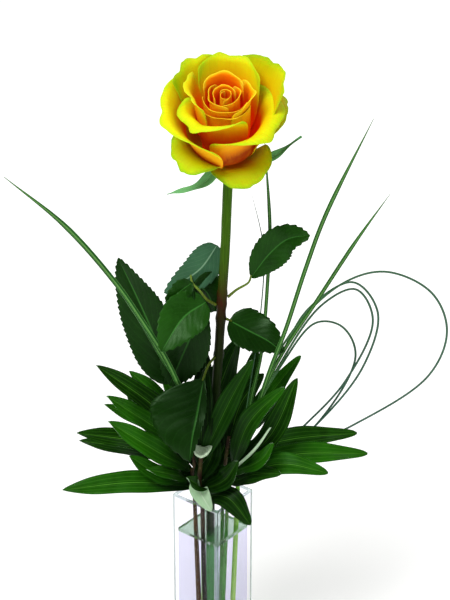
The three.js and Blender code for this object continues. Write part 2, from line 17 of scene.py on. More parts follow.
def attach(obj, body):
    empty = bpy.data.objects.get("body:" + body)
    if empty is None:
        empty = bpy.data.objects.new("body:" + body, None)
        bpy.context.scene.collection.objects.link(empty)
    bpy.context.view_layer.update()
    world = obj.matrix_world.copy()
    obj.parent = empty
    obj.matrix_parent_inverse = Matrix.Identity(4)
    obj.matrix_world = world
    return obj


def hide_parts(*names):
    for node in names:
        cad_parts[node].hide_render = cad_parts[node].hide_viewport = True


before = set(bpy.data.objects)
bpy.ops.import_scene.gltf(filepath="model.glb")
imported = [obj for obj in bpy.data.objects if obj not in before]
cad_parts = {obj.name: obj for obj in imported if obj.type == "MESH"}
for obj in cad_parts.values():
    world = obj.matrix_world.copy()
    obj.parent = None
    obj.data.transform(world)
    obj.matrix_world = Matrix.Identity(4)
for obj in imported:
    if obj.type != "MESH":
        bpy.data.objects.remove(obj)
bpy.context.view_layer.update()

# ------------------------------------------------------------------------ driving dimensions

MM = 0.001

VASE_SIDE = 50
VASE_HEIGHT = 200
VASE_WALL = 3
VASE_FLOOR = 10
VASE_CORNER = 2
GLASS_EDGE = 0.9  # radius of the polished edges
WATER_LEVEL = 164
WATER_BITE = 0.04  # how far the water reaches into the glass, so that no air shows between
MENISCUS_HEIGHT = 1.3
MENISCUS_WIDTH = 2.6
GAP = 0.3  # between two pieces of which one stands or lies on the other

BOUQUET_TURN = 38.7  # degrees about +Z from the vase's sides to the bouquet's front
STEM_FOOT = VASE_FLOOR + 2 * GAP

ROSE_STEM_RADIUS = 4
HIP_LENGTH = 14
HIP_RADIUS = 6.5
HIP_NECK = 3.2  # the hip's radius where it leaves the stem
BLOOM_BASE = (13, -11, 512.5)
BLOOM_TILT = 29  # degrees that the bloom nods to the front
BLOOM_LEAN = -2.5  # degrees that it leans to the right
PETAL_THICKNESS = 0.6
LEAF_THICKNESS = 0.5
LEAF_FOLD = 12  # degrees that each half of a blade is folded up from flat
TWIG_RADIUS = 2
CUT_TWIG_RADIUS = 2.4
CUT_HEAD_RADIUS = 8
SHEATH_RADIUS = 1.9
STOUT_SHEATH_RADIUS = 2.5

WORLD_LIGHT = (0.27, 0.95)  # the surroundings' light on the part and as seen behind it
PETAL_GLOW = 0.25  # stands for the light that petals pass on to each other in the heart
FLOOR_GLOW = (0.35, 0.72)  # the floor's own light near the vase and far from it

SEEDS = {"sepals": 11, "petals": 5, "rose_leaves": 23, "twig_leaves": 41}

FRONT = (0, -1, 0)
TURN = Matrix.Rotation(math.radians(BOUQUET_TURN), 4, "Z")


def placed(point):
    """A point of the bouquet, in millimetres, brought to the part's frame in metres."""
    return TURN @ Vector(point) * MM


# ------------------------------------------------------------------------ curves


class Spline:
    """A smooth curve through points, read by its share of length 0..1."""

    FINENESS = 40

    def __init__(self, points):
        points = [Vector(point) for point in points]
        before = 2 * points[0] - points[1]
        after = 2 * points[-1] - points[-2]
        posts = [before, *points, after]
        self.path = [points[0]]
        for k in range(len(points) - 1):
            self._span(*posts[k:k + 4])
        self.reach = [0.0]
        for a, b in zip(self.path, self.path[1:]):
            self.reach.append(self.reach[-1] + (b - a).length)
        self.length = self.reach[-1]

    def _span(self, p0, p1, p2, p3):
        d0, d1, d2 = (max(1e-6, (b - a).length) ** 0.5 for a, b in ((p0, p1), (p1, p2), (p2, p3)))
        slope1 = ((p1 - p0) / d0 - (p2 - p0) / (d0 + d1) + (p2 - p1) / d1) * d1
        slope2 = ((p2 - p1) / d1 - (p3 - p1) / (d1 + d2) + (p3 - p2) / d2) * d1
        square = -3 * p1 + 3 * p2 - 2 * slope1 - slope2
        cube = 2 * p1 - 2 * p2 + slope1 + slope2
        for step in range(1, self.FINENESS + 1):
            t = step / self.FINENESS
            self.path.append(p1 + slope1 * t + square * t * t + cube * t ** 3)

    def point(self, share):
        goal = max(0.0, min(1.0, share)) * self.length
        low, high = 0, len(self.reach) - 1
        while high - low > 1:
            middle = (low + high) // 2
            if self.reach[middle] <= goal:
                low = middle
            else:
                high = middle
        span = self.reach[high] - self.reach[low] or 1.0
        return self.path[low].lerp(self.path[high], (goal - self.reach[low]) / span)

    def heading(self, share):
        nudge = 0.012
        ahead = self.point(min(1.0, share + nudge))
        return (ahead - self.point(max(0.0, share - nudge))).normalized()

    def at_height(self, height):
        """The point where a rising curve passes a height."""
        low, high = 0.0, 1.0
        while high - low > 1e-4:
            middle = (low + high) / 2
            if self.point(middle).z < height:
                low = middle
            else:
                high = middle
        return self.point(low)


# ------------------------------------------------------------------------ meshes from points


class Shape:
    """Points and faces of one piece, each point with its place (u, v) on its blade or petal
    and a tint 0..1 that its finish reads."""

    def __init__(self):
        self.points = []
        self.faces = []
        self.spread = []
        self.tints = []
        self.sides = []

    def add_point(self, point, u=0.5, v=0.5, tint=0.5):
        self.points.append(point)
        self.spread.append((u, v))
        self.tints.append(tint)
        return len(self.points) - 1

    def add_face(self, corners, side=0):
        self.faces.append(corners)
        self.sides.append(side)

    def close_rings(self, rings):
        """Faces between rings of as many points, each above the one before, and over the
        two ends."""
        for low, high in zip(rings, rings[1:]):
            for k in range(len(low)):
                after = (k + 1) % len(low)
                self.add_face([low[k], low[after], high[after], high[k]])
        self.add_face(rings[0][::-1])
        self.add_face(rings[-1])

    def mesh(self, name, finishes, smooth=True):
        """The shape's mesh, with a finish for each of its sides."""
        mesh = bpy.data.meshes.new(name)
        mesh.from_pydata(self.points, [], self.faces)
        blade = mesh.uv_layers.new(name="blade")
        for loop in mesh.loops:
            blade.data[loop.index].uv = self.spread[loop.vertex_index]
        tint = mesh.attributes.new("tint", "FLOAT", "POINT")
        tint.data.foreach_set("value", self.tints)
        mesh.polygons.foreach_set("material_index", self.sides)
        mesh.polygons.foreach_set("use_smooth", [smooth] * len(self.faces))
        for finish in finishes:
            mesh.materials.append(finish)
        mesh.update()
        return mesh


def add_sheet(shape, rows, columns, thickness, surface, tint):
    """A thin closed sheet over surface(s, u), s 0..1 along it and u -1..1 across it, with a
    rounded rim. thickness(s, u) may vary. Side 0 is the upper face, side 1 the lower."""
    grid = [[surface(row / rows, 2 * column / columns - 1) for column in range(columns + 1)]
            for row in range(rows + 1)]
    normals = []
    for row in range(rows + 1):
        line = []
        for column in range(columns + 1):
            up, down = min(row + 1, rows), max(row - 1, 0)
            right, left = min(column + 1, columns), max(column - 1, 0)
            along = grid[up][column] - grid[down][column]
            across = grid[row][right] - grid[row][left]
            line.append(across.cross(along).normalized())
        normals.append(line)
    upper, lower = {}, {}
    for row in range(rows + 1):
        for column in range(columns + 1):
            s, u = row / rows, 2 * column / columns - 1
            half = normals[row][column] * thickness(s, u) / 2
            middle = grid[row][column]
            spot = ((u + 1) / 2, s, tint)
            upper[row, column] = shape.add_point(placed(middle + half), *spot)
            lower[row, column] = shape.add_point(placed(middle - half), *spot)
    for row in range(rows):
        for column in range(columns):
            ring = [(row, column), (row, column + 1), (row + 1, column + 1), (row + 1, column)]
            shape.add_face([upper[key] for key in ring], 0)
            shape.add_face([lower[key] for key in reversed(ring)], 1)
    edge = [(0, column) for column in range(columns)]
    edge += [(row, columns) for row in range(rows)]
    edge += [(rows, column) for column in range(columns, 0, -1)]
    edge += [(row, 0) for row in range(rows, 0, -1)]
    rim = {}
    for row, column in edge:
        inner = grid[min(max(row, 1), rows - 1)][min(max(column, 1), columns - 1)]
        s, u = row / rows, 2 * column / columns - 1
        outward = (grid[row][column] - inner).normalized() * thickness(s, u) * 0.4
        spot = ((u + 1) / 2, s, tint)
        rim[row, column] = shape.add_point(placed(grid[row][column] + outward), *spot)
    for a, b in zip(edge, edge[1:] + edge[:1]):
        shape.add_face([upper[a], rim[a], rim[b], upper[b]], 0)
        shape.add_face([rim[a], lower[a], lower[b], rim[b]], 1)


# ------------------------------------------------------------------------ finishes


def colour(code):
    """A colour from its six-digit code, as linear light."""
    parts = [int(code[k:k + 2], 16) / 255 for k in (0, 2, 4)]
    linear = [c / 12.92 if c <= 0.04045 else ((c + 0.055) / 1.055) ** 2.4 for c in parts]
    return (*linear, 1.0)


def feed(tree, socket, value):
    """Set a socket of a tree to a value, or link it to the socket that feeds it."""
    if isinstance(value, bpy.types.NodeSocket):
        tree.links.new(value, socket)
    else:
        socket.default_value = value


def add_node(tree, kind, inputs=None, **settings):
    """A new node of a tree, with its settings and then its inputs."""
    node = tree.nodes.new(kind)
    for key, value in settings.items():
        setattr(node, key, value)
    for key, value in (inputs or {}).items():
        feed(tree, node.inputs[key], value)
    return node


class Finish:
    """A material in the making: one shader and the nodes that feed it."""

    def __init__(self, name, **sockets):
        self.material = bpy.data.materials.new(name)
        self.material.use_nodes = True
        self.tree = self.material.node_tree
        self.shader = self.tree.nodes["Principled BSDF"]
        for socket, value in sockets.items():
            self.set(socket.replace("_", " "), value)

    def set(self, socket, value):
        feed(self.tree, self.shader.inputs[socket], value)

    def add(self, kind, inputs=None, **settings):
        return add_node(self.tree, kind, inputs, **settings)

    def math(self, operation, a, b=0.0, clamp=False):
        return self.add("ShaderNodeMath", {0: a, 1: b}, operation=operation,
                        use_clamp=clamp).outputs[0]

    def times(self, a, b):
        return self.math("MULTIPLY", a, b)

    def plus(self, a, b):
        return self.math("ADD", a, b)

    def minus(self, a, b):
        return self.math("SUBTRACT", a, b)

    def off_middle(self, value):
        """How far a value lies from a half."""
        return self.math("ABSOLUTE", self.minus(value, 0.5))

    def swing(self, noise, reach):
        """A noise brought to either side of nought, reach wide in all."""
        return self.times(self.minus(noise, 0.5), reach)

    def ramp(self, factor, stops):
        """Colours or greys, each at its place 0..1 along the factor."""
        node = self.add("ShaderNodeValToRGB", {"Fac": factor})
        band = node.color_ramp
        while len(band.elements) < len(stops):
            band.elements.new(0.5)
        for element, (place, value) in zip(band.elements, stops):
            element.position = place
            element.color = colour(value) if isinstance(value, str) else (value,) * 3 + (1,)
        return node.outputs["Color"]

    def mix(self, factor, a, b, blend="MIX"):
        a, b = (colour(value) if isinstance(value, str) else value for value in (a, b))
        return self.add("ShaderNodeMix", {0: factor, 6: a, 7: b}, data_type="RGBA",
                        blend_type=blend).outputs[2]

    def ease(self, value, low, high, to_low=0.0, to_high=1.0):
        """A value brought smoothly from low..high to to_low..to_high, and held there."""
        return self.add("ShaderNodeMapRange", {"Value": value, "From Min": low,
                        "From Max": high, "To Min": to_low, "To Max": to_high},
                        interpolation_type="SMOOTHSTEP").outputs[0]

    def place(self, scale=(1, 1, 1)):
        """Object coordinates, stretched by scale."""
        source = self.add("ShaderNodeTexCoord").outputs["Object"]
        return self.add("ShaderNodeMapping", {"Vector": source, "Scale": scale}).outputs[0]

    def height(self):
        """The height above the table in metres."""
        return self.add("ShaderNodeSeparateXYZ", {0: self.place()}).outputs["Z"]

    def distance(self, scale=(1, 1, 1)):
        """The distance in metres from the middle of the vase's base."""
        return self.add("ShaderNodeVectorMath", {0: self.place(scale)},
                        operation="LENGTH").outputs["Value"]

    def noise(self, vector, scale, detail=3.0, roughness=0.5):
        return self.add("ShaderNodeTexNoise", {"Vector": vector, "Scale": scale,
                        "Detail": detail, "Roughness": roughness}).outputs["Fac"]

    def cells(self, scale, feature="F1", stretch=(1, 1, 1)):
        """The distance to a cell's middle or, by feature, to its edge."""
        return self.add("ShaderNodeTexVoronoi", {"Vector": self.place(stretch),
                        "Scale": scale}, feature=feature).outputs["Distance"]

    def attribute(self, name):
        return self.add("ShaderNodeAttribute", attribute_name=name).outputs["Fac"]

    def blade(self):
        """(u, v, off): across 0..1, along 0..1, and distance from the rib 0..1."""
        spread = self.add("ShaderNodeUVMap", uv_map="blade").outputs["UV"]
        parts = self.add("ShaderNodeSeparateXYZ", {0: spread})
        u, v = parts.outputs["X"], parts.outputs["Y"]
        return u, v, self.math("ABSOLUTE", self.minus(self.times(u, 2.0), 1.0))

    def bump(self, height, strength, distance):
        relief = self.add("ShaderNodeBump", {"Height": height, "Strength": strength,
                          "Distance": distance})
        self.set("Normal", relief.outputs[0])


# shares of a green flush with painted shade, darker and greener on the petals at the bouquet's back
# and right, by a petal's age, 0 in the heart and 1 outside
SHADE_FLUSH_AGES = [(0.45, 0.0), (0.5, 0.45), (0.55, 0.0), (0.6, 1.0), (0.65, 1.0), (0.7, 0.4),
                (0.75, 0.0)]


def petal_finish(name, heart, outer, shade_flushing, guard, streaks):
    """A velvety petal: colours from root to lip for the heart's petals, the outer ones, those
    of them that carry a green flush with painted shade, darker and greener, and the guard
    petals outside them, with fine veins along it and a yellow rim all round. The heart's
    petals also have a painted glow that stands for the light they pass on to each other."""
    made = Finish(name, Roughness=0.6, Specular_IOR_Level=0.08, Subsurface_Weight=0.3,
                  Subsurface_Radius=(1.0, 0.3, 0.03), Subsurface_Scale=0.0025)
    u, v, off = made.blade()
    age = made.attribute("tint")
    mottle = made.noise(made.place(), 120.0, 4.0)
    veins = made.add("ShaderNodeCombineXYZ", {0: made.times(u, 26.0), 1: made.times(v, 1.6),
                     2: made.times(age, 40.0)})
    grain = made.noise(veins.outputs[0], 2.6, 5.0, 0.6)
    rim = made.times(made.math("POWER", off, 5.0), 0.16)
    lip = made.plus(made.plus(v, made.swing(grain, 0.1)), rim)
    inner = made.mix(made.ease(age, 0.36, 0.5), made.ramp(lip, heart), made.ramp(lip, outer))
    # painted shade with a green flush: the flushed petals turn darker and greener, most on their
    # side with the higher azimuth
    shade_flush = made.times(made.ramp(age, SHADE_FLUSH_AGES), made.ease(u, 0.25, 0.65, 0.5, 1.0))
    shade_flushed = made.mix(shade_flush, inner, made.ramp(lip, shade_flushing))
    body = made.mix(made.ease(age, 0.78, 0.94), shade_flushed, made.ramp(lip, guard))
    streaked = made.mix(made.ease(grain, 0.4, 0.75, 0.0, 0.3), body, streaks, "MULTIPLY")
    made.set("Base Color", made.mix(made.ease(mottle, 0.4, 0.7, 0.0, 0.08), streaked, "f0b800"))
    # painted glow: the heart's petals shine a little deep orange-red, standing for the light they
    # pass on to each other
    made.set("Emission Color", colour("e02800"))
    glow = made.ease(age, 0.7, 0.85, PETAL_GLOW, 0.0)
    made.set("Emission Strength", made.ease(v, 0.2, 0.85, glow, 0.0))
    made.bump(made.plus(grain, made.times(mottle, 0.4)), 0.3, 0.0004)
    return made.material


def leaf_finish(name, deep, light, rib, pairs=9.0, slope=0.42, roughness=0.36, glossy=0.15,
                drawn=0.2, quilted=0.4, rib_share=0.6, foot=0.8, long_veins=0.0, inner_shade=0.0):
    """A leaf face: mottled greens, a pale midrib and pairs of side veins that rise from it.
    drawn is how far the side veins show, quilted how far they hollow the blade, rib_share how
    far the midrib shows, foot how little a painted shade darkens the blade's root (1 leaves it
    unshaded), long_veins how far the veins that run beside the midrib show, and inner_shade
    how dark a painted shade makes a blade that stands low and near the bouquet's middle."""
    made = Finish(name, Roughness=roughness, Specular_IOR_Level=glossy,
                  Specular_Tint=(0.6, 1.0, 0.55, 1.0), Subsurface_Weight=0.04,
                  Subsurface_Radius=(0.3, 0.8, 0.1), Subsurface_Scale=0.0008)
    v, off = made.blade()[1:]
    mottle = made.noise(made.place(), 55.0, 4.0, 0.55)

    ranks = made.times(made.minus(v, made.times(off, slope)), pairs)
    near_vein = made.off_middle(made.math("FRACT", made.plus(ranks, made.swing(mottle, 0.5))))
    side_vein = made.ease(near_vein, 0.0, 0.06, 1.0, 0.0)
    midrib = made.ease(off, 0.015, 0.055, 1.0, 0.0)
    beside = made.off_middle(made.math("FRACT", made.times(off, 3.0)))
    long_vein = made.ease(beside, 0.0, 0.16, 1.0, 0.0)

    tone = made.plus(made.times(mottle, 0.6), made.times(made.attribute("tint"), 0.6))
    ground = made.mix(made.ease(tone, 0.25, 1.0), deep, light)
    # painted shade: blades low and near the bouquet's middle, and the roots of blades, darken
    # towards near black, and their veins dim with them
    low = made.ease(made.height(), 0.33, 0.38, inner_shade, 0.0)
    inner_shade_mask = made.times(made.ease(made.distance((1, 1, 0)), 0.025, 0.08, 1.0, 0.0), low)
    root_shade = made.ease(v, 0.0, 0.6, 1 - foot, 0.0)
    shaded = made.mix(made.math("MAXIMUM", inner_shade_mask, root_shade), ground, "020a02")
    lit = made.minus(1.0, made.times(inner_shade_mask, 0.8))
    veins = made.math("ADD", made.times(side_vein, drawn), made.times(long_vein, long_veins),
                      clamp=True)
    veined = made.mix(made.times(veins, lit), shaded, rib)
    made.set("Base Color", made.mix(made.times(made.times(midrib, rib_share), lit), veined, rib))
    made.set("Roughness", made.ease(mottle, 0.2, 0.8, roughness - 0.06, roughness + 0.12))

    quilt = made.times(made.ease(near_vein, 0.0, 0.5), quilted)
    pores = made.ease(made.cells(900.0, "DISTANCE_TO_EDGE"), 0.0, 0.12)
    relief = made.plus(quilt, made.times(pores, 0.1))
    relief = made.minus(relief, made.times(long_vein, long_veins))
    made.bump(made.minus(relief, made.times(midrib, 0.8)), 0.4, 0.0005)
    return made.material


def stem_finish(name, stops):
    """A stem's skin: colours by height above the table in metres, with fine streaks."""
    made = Finish(name, Roughness=0.42, Specular_IOR_Level=0.08,
                  Specular_Tint=(0.8, 1.0, 0.6, 1.0), Subsurface_Weight=0.05,
                  Subsurface_Radius=(0.4, 0.8, 0.1), Subsurface_Scale=0.001)
    streaks = made.noise(made.place((1, 1, 0.06)), 900.0, 4.0)
    patches = made.noise(made.place(), 45.0, 3.0)
    ground = made.ramp(made.plus(made.height(), made.swing(patches, 0.03)), stops)
    made.set("Base Color", made.mix(made.ease(streaks, 0.35, 0.75, 0.0, 0.45), ground, "1a2c08"))
    made.bump(streaks, 0.3, 0.0004)
    return made.material


def bark_finish(name, wet):
    """A leafy twig's reddish-brown bark with pale dots and lengthwise wrinkles, of the
    colour wet where it stands in the vase."""
    made = Finish(name, Roughness=0.7, Specular_IOR_Level=0.25)
    wrinkles = made.noise(made.place((1, 1, 0.12)), 1100.0, 5.0, 0.6)
    patches = made.noise(made.place(), 60.0, 4.0)
    dry = made.mix(made.ease(patches, 0.3, 0.7), "3a1d14", "4d4a1a")
    ground = made.mix(made.ease(made.height(), 0.16, 0.21), wet, dry)
    streaked = made.mix(made.ease(wrinkles, 0.35, 0.7, 0.0, 0.6), ground, "22120c")
    dot = made.ease(made.cells(420.0, stretch=(1, 1, 0.5)), 0.12, 0.2, 0.6, 0.0)
    made.set("Base Color", made.mix(dot, streaked, "8a7358"))
    made.bump(made.plus(wrinkles, dot), 0.55, 0.0005)
    return made.material


def grass_finish(name, stops, line_colour, line_share):
    """Grass: colours from foot to tip, with parallel lengthwise lines of a lighter green."""
    made = Finish(name, Roughness=0.45, Specular_IOR_Level=0.15,
                  Specular_Tint=(0.6, 1.0, 0.55, 1.0))
    patches = made.noise(made.place(), 30.0, 4.0)
    around = made.math("FRACT", made.times(made.attribute("around"), 4.0))
    line = made.ease(made.off_middle(around), 0.2, 0.45)
    ground = made.ramp(made.attribute("share"), stops)
    mottled = made.mix(made.ease(patches, 0.3, 0.7, 0.0, 0.4), ground, "0c2c0c")
    made.set("Base Color", made.mix(made.times(line, line_share), mottled, line_colour))
    made.bump(line, 0.4, 0.0003)
    return made.material


def cut_wood_finish():
    """The pale, slightly ringed wood of a cut twig end."""
    made = Finish("cut_wood", Roughness=0.8, Specular_IOR_Level=0.15)
    rings = made.noise(made.place(), 900.0, 3.0)
    made.set("Base Color", made.mix(made.ease(rings, 0.3, 0.7), "dcf0d4", "b0cca4"))
    made.bump(rings, 0.4, 0.0003)
    return made.material


def clear_finish(name, tint, bend, see_through, dust, bends, bent_tint):
    """Clear glass or water: it bends light, and lets light through to what stands in it.
    see_through is the share of light that passes straight on, and bends(finish) a mask 0..1
    of the places where most light bends instead, tinted with bent_tint."""
    made = Finish(name, Roughness=0.0, IOR=bend, Transmission_Weight=1.0)
    mask = bends(made)
    shown = made.mix(mask, tint, bent_tint)
    made.set("Base Color", shown)
    made.bump(made.noise(made.place(), dust, 4.0), 0.02, 0.0002)
    straight = made.add("ShaderNodeBsdfTransparent", {"Color": shown})
    passing = made.ease(mask, 0.0, 1.0, see_through, 0.35)
    shadow = made.add("ShaderNodeLightPath").outputs["Is Shadow Ray"]
    both = made.add("ShaderNodeMixShader", {0: made.math("MAXIMUM", shadow, passing),
                    1: made.shader.outputs[0], 2: straight.outputs[0]})
    feed(made.tree, made.tree.nodes["Material Output"].inputs["Surface"], both.outputs[0])
    return made.material


def vase_edges(made):
    """The vase's upright corners and its rim."""
    parts = made.add("ShaderNodeSeparateXYZ", {0: made.place()})
    x, y = (made.math("ABSOLUTE", parts.outputs[axis]) for axis in "XY")
    outer, inner = VASE_SIDE / 2 * MM, (VASE_SIDE / 2 - VASE_WALL) * MM
    corner = made.ease(made.math("MINIMUM", x, y), inner - 0.001, (inner + outer) / 2)
    rim = made.ease(parts.outputs["Z"], (VASE_HEIGHT - 2) * MM, (VASE_HEIGHT - 1) * MM)
    return made.math("MAXIMUM", corner, rim)


def water_surface(made):
    """The water's open surface."""
    return made.ease(made.height(), (WATER_LEVEL - 2) * MM, (WATER_LEVEL - 0.5) * MM)


def floor_finish():
    """A matt pale table top with the faintest mottle."""
    made = Finish("pale_floor", Roughness=0.85, Specular_IOR_Level=0.1)
    pale = made.mix(made.noise(made.place(), 3.0, 3.0), "fbfbfa", "f7f7f6")
    made.set("Base Color", pale)
    made.set("Emission Color", pale)
    made.set("Emission Strength", made.ease(made.distance(), 0.3, 2.0, *FLOOR_GLOW))
    return made.material


PETAL_FACE = petal_finish(
    "petal_face",
    heart=[(0.0, "a01000"), (0.45, "d83000"), (0.66, "f05000"), (0.8, "f47400"), (0.9, "f69400"),
           (0.96, "f8bc10"), (1.0, "f8d428")],
    outer=[(0.0, "c02400"), (0.3, "e04800"), (0.5, "e88c00"), (0.66, "ecc408"), (0.8, "ecdc10"),
           (0.92, "e0e410"), (1.0, "b8dc18")],
    shade_flushing=[(0.0, "b01800"), (0.3, "d44c00"), (0.5, "d89400"), (0.7, "ccb800"),
              (0.8, "b8bc00"), (0.9, "a0bc00"), (1.0, "8cb808")],
    # the guard ramp's darker root is painted shade where the cup overhangs it
    guard=[(0.0, "906400"), (0.25, "b09800"), (0.5, "b8b400"), (0.75, "b4c800"),
           (0.9, "a8cc08"), (1.0, "84bc10")],
    streaks="ffc850")
PETAL_BACK = petal_finish(
    "petal_back",
    heart=[(0.0, "b42400"), (0.4, "f07804"), (0.68, "f8a00c"), (0.85, "f8b410"), (0.94, "f8c018"),
           (1.0, "f8cc1c")],
    # the dark roots of the next two ramps are painted shadow where the bloom's belly hangs over the
    # guard petals
    outer=[(0.0, "301800"), (0.4, "703408"), (0.5, "c47408"), (0.62, "e8a00c"), (0.8, "ecb408"),
           (0.9, "e0d008"), (1.0, "a8d414")],
    shade_flushing=[(0.0, "301800"), (0.42, "582800"), (0.52, "a86004"), (0.66, "d89c08"),
              (0.8, "c8b000"), (0.9, "a8b404"), (1.0, "8cb808")],
    guard=[(0.0, "7c9818"), (0.3, "a8b410"), (0.7, "b4c40c"), (1.0, "8cc014")],
    streaks="ffd060")
ROSE_LEAF_FACE = leaf_finish("rose_leaf_face", "0c2c02", "205010", "3c7c30", drawn=0.1,
                             quilted=0.2, roughness=0.3, glossy=0.13, inner_shade=0.6)
ROSE_LEAF_BACK = leaf_finish("rose_leaf_back", "1c4028", "3c6448", "8cb090", drawn=0.12,
                             quilted=0.15, roughness=0.6, foot=1.0, rib_share=0.5)
TWIG_LEAF_FACE = leaf_finish("twig_leaf_face", "0a2800", "226006", "54942c", pairs=13.0,
                             slope=0.3, roughness=0.34, glossy=0.09, drawn=0.0, quilted=0.1,
                             rib_share=0.7, foot=0.2, long_veins=0.22, inner_shade=0.8)
TWIG_LEAF_BACK = leaf_finish("twig_leaf_back", "84a880", "b4ccac", "d0dcc4", pairs=13.0,
                             slope=0.3, roughness=0.5, drawn=0.1, quilted=0.15, foot=0.9,
                             long_veins=0.1)
SEPAL_FACE = leaf_finish("sepal_face", "3c7c40", "70b070", "9ccc98", pairs=7.0, slope=0.5,
                         roughness=0.5, foot=1.0)
SEPAL_BACK = leaf_finish("sepal_back", "3c6450", "6c9c74", "94b894", pairs=7.0, slope=0.5,
                         roughness=0.6, foot=1.0)
STEM_SKIN = stem_finish("rose_stem_skin", [
    (0.0, "4c9048"), (0.14, "58a058"), (0.158, "12240f"), (0.33, "101a03"), (0.372, "201406"),
    (0.383, "341008"), (0.392, "302c08"), (0.42, "38580a"), (0.5, "406c0c")])
LEAF_STALK = stem_finish("leaf_stalk_skin", [(0.3, "3a4a14"), (0.38, "4c5818"), (0.4, "6c8434")])
BARK = bark_finish("twig_bark", "5c4424")
DARK_BARK = bark_finish("dark_twig_bark", "201c0c")
GREEN_BARK = bark_finish("green_twig_bark", "5ca048")
CUT_WOOD = cut_wood_finish()
GRASS_BLADE = grass_finish("grass_blade", [(0.0, "94d848"), (0.2, "1c5010"), (0.6, "1a4c18"),
                           (1.0, "245424")], "7cb45c", 0.6)
GRASS_SHEATH = grass_finish("grass_sheath", [(0.0, "c4ec80"), (0.7, "a4dc54"), (0.9, "8cc43c"),
                            (1.0, "4c8828")], "c8ec98", 0.4)
GRASS_LOOP = grass_finish("grass_loop", [(0.0, "58903c"), (0.2, "3c7020"), (0.4, "2c5434"),
                          (1.0, "2c4c44")], "80a094", 0.35)
GLASS = clear_finish("vase_glass", "fcfbfe", 1.5, 0.98, 30.0, vase_edges, "b4c4c4")
WATER = clear_finish("vase_water", "f2f3f9", 1.333, 0.99, 12.0, water_surface, "8cb48c")
PALE_FLOOR = floor_finish()


# ------------------------------------------------------------------------ swept stems


def sweep_tree():
    """The nodes that make a tube along each chain of edges. Each point's radius is its
    attribute radius; Flatness squeezes the section, whose flat side looks along Facing; Knobs
    raises low bumps of Knob Size on the skin."""
    tree = bpy.data.node_groups.new("swept_stem", "GeometryNodeTree")
    face = tree.interface
    face.new_socket("Geometry", in_out="INPUT", socket_type="NodeSocketGeometry")
    for label, kind, default in (("Sides", "Int", 12), ("Step", "Float", 0.002),
                                 ("Flatness", "Float", 1.0), ("Facing", "Vector", (0, -1, 0)),
                                 ("Knobs", "Float", 0.0), ("Knob Size", "Float", 0.004),
                                 ("Finish", "Material", None)):
        socket = face.new_socket(label, in_out="INPUT", socket_type=f"NodeSocket{kind}")
        if default is not None:
            socket.default_value = default
    face.new_socket("Geometry", in_out="OUTPUT", socket_type="NodeSocketGeometry")

    add = functools.partial(add_node, tree)
    given = add("NodeGroupInput").outputs
    radius = add("GeometryNodeInputNamedAttribute", {"Name": "radius"}, data_type="FLOAT")
    line = add("GeometryNodeMeshToCurve", {"Mesh": given["Geometry"]})
    fine = add("GeometryNodeResampleCurve", {"Curve": line.outputs[0], "Length": given["Step"]},
               mode="LENGTH")
    upright = add("GeometryNodeSetCurveNormal", {"Curve": fine.outputs[0],
                  "Normal": given["Facing"]}, mode="FREE")
    ring = add("GeometryNodeCurvePrimitiveCircle", {"Resolution": given["Sides"], "Radius": 1.0})
    turn = add("GeometryNodeSplineParameter")
    marked = add("GeometryNodeStoreNamedAttribute", {"Geometry": ring.outputs[0],
                 "Name": "around", "Value": turn.outputs["Factor"]}, data_type="FLOAT",
                 domain="POINT")
    squeeze = add("ShaderNodeCombineXYZ", {0: given["Flatness"], 1: 1.0, 2: 1.0})
    section = add("GeometryNodeTransform", {"Geometry": marked.outputs[0],
                  "Scale": squeeze.outputs[0]})
    swept = add("GeometryNodeCurveToMesh", {"Curve": upright.outputs[0],
                "Profile Curve": section.outputs[0], "Fill Caps": True,
                "Scale": radius.outputs["Attribute"]})
    where = add("GeometryNodeInputPosition")
    size = add("ShaderNodeMath", {0: 1.0, 1: given["Knob Size"]}, operation="DIVIDE")
    grain = add("ShaderNodeTexNoise", {"Vector": where.outputs[0], "Scale": size.outputs[0]})
    swell = add("ShaderNodeMath", {0: grain.outputs["Fac"], 1: 0.5}, operation="SUBTRACT")
    lift = add("ShaderNodeMath", {0: swell.outputs[0], 1: given["Knobs"]}, operation="MULTIPLY")
    normal = add("GeometryNodeInputNormal")
    shift = add("ShaderNodeVectorMath", {0: normal.outputs[0], "Scale": lift.outputs[0]},
                operation="SCALE")
    knobbly = add("GeometryNodeSetPosition", {"Geometry": swept.outputs[0],
                  "Offset": shift.outputs[0]})
    smooth = add("GeometryNodeSetShadeSmooth", {"Geometry": knobbly.outputs[0]})
    whole = add("GeometryNodeRealizeInstances", {"Geometry": smooth.outputs[0]})
    dressed = add("GeometryNodeSetMaterial", {"Geometry": whole.outputs[0],
                  "Material": given["Finish"]})
    add("NodeGroupOutput", {"Geometry": dressed.outputs[0]})
    return tree


def new_object(name, data):
    """An object of the scene, at the origin."""
    thing = bpy.data.objects.new(name, data)
    bpy.context.scene.collection.objects.link(thing)
    return thing


def run_tree(name, tree, mesh, inputs):
    """The mesh that a tree makes from a mesh, with its inputs set by name."""
    maker = new_object(name, mesh)
    modifier = maker.modifiers.new("made", "NODES")
    modifier.node_group = tree
    for item in tree.interface.items_tree:
        if item.item_type == "SOCKET" and item.in_out == "INPUT" and item.name in inputs:
            modifier[item.identifier] = inputs[item.name]
    grown = maker.evaluated_get(bpy.context.evaluated_depsgraph_get())
    result = bpy.data.meshes.new_from_object(grown)
    bpy.data.objects.remove(maker)
    return result


SWEEP = sweep_tree()


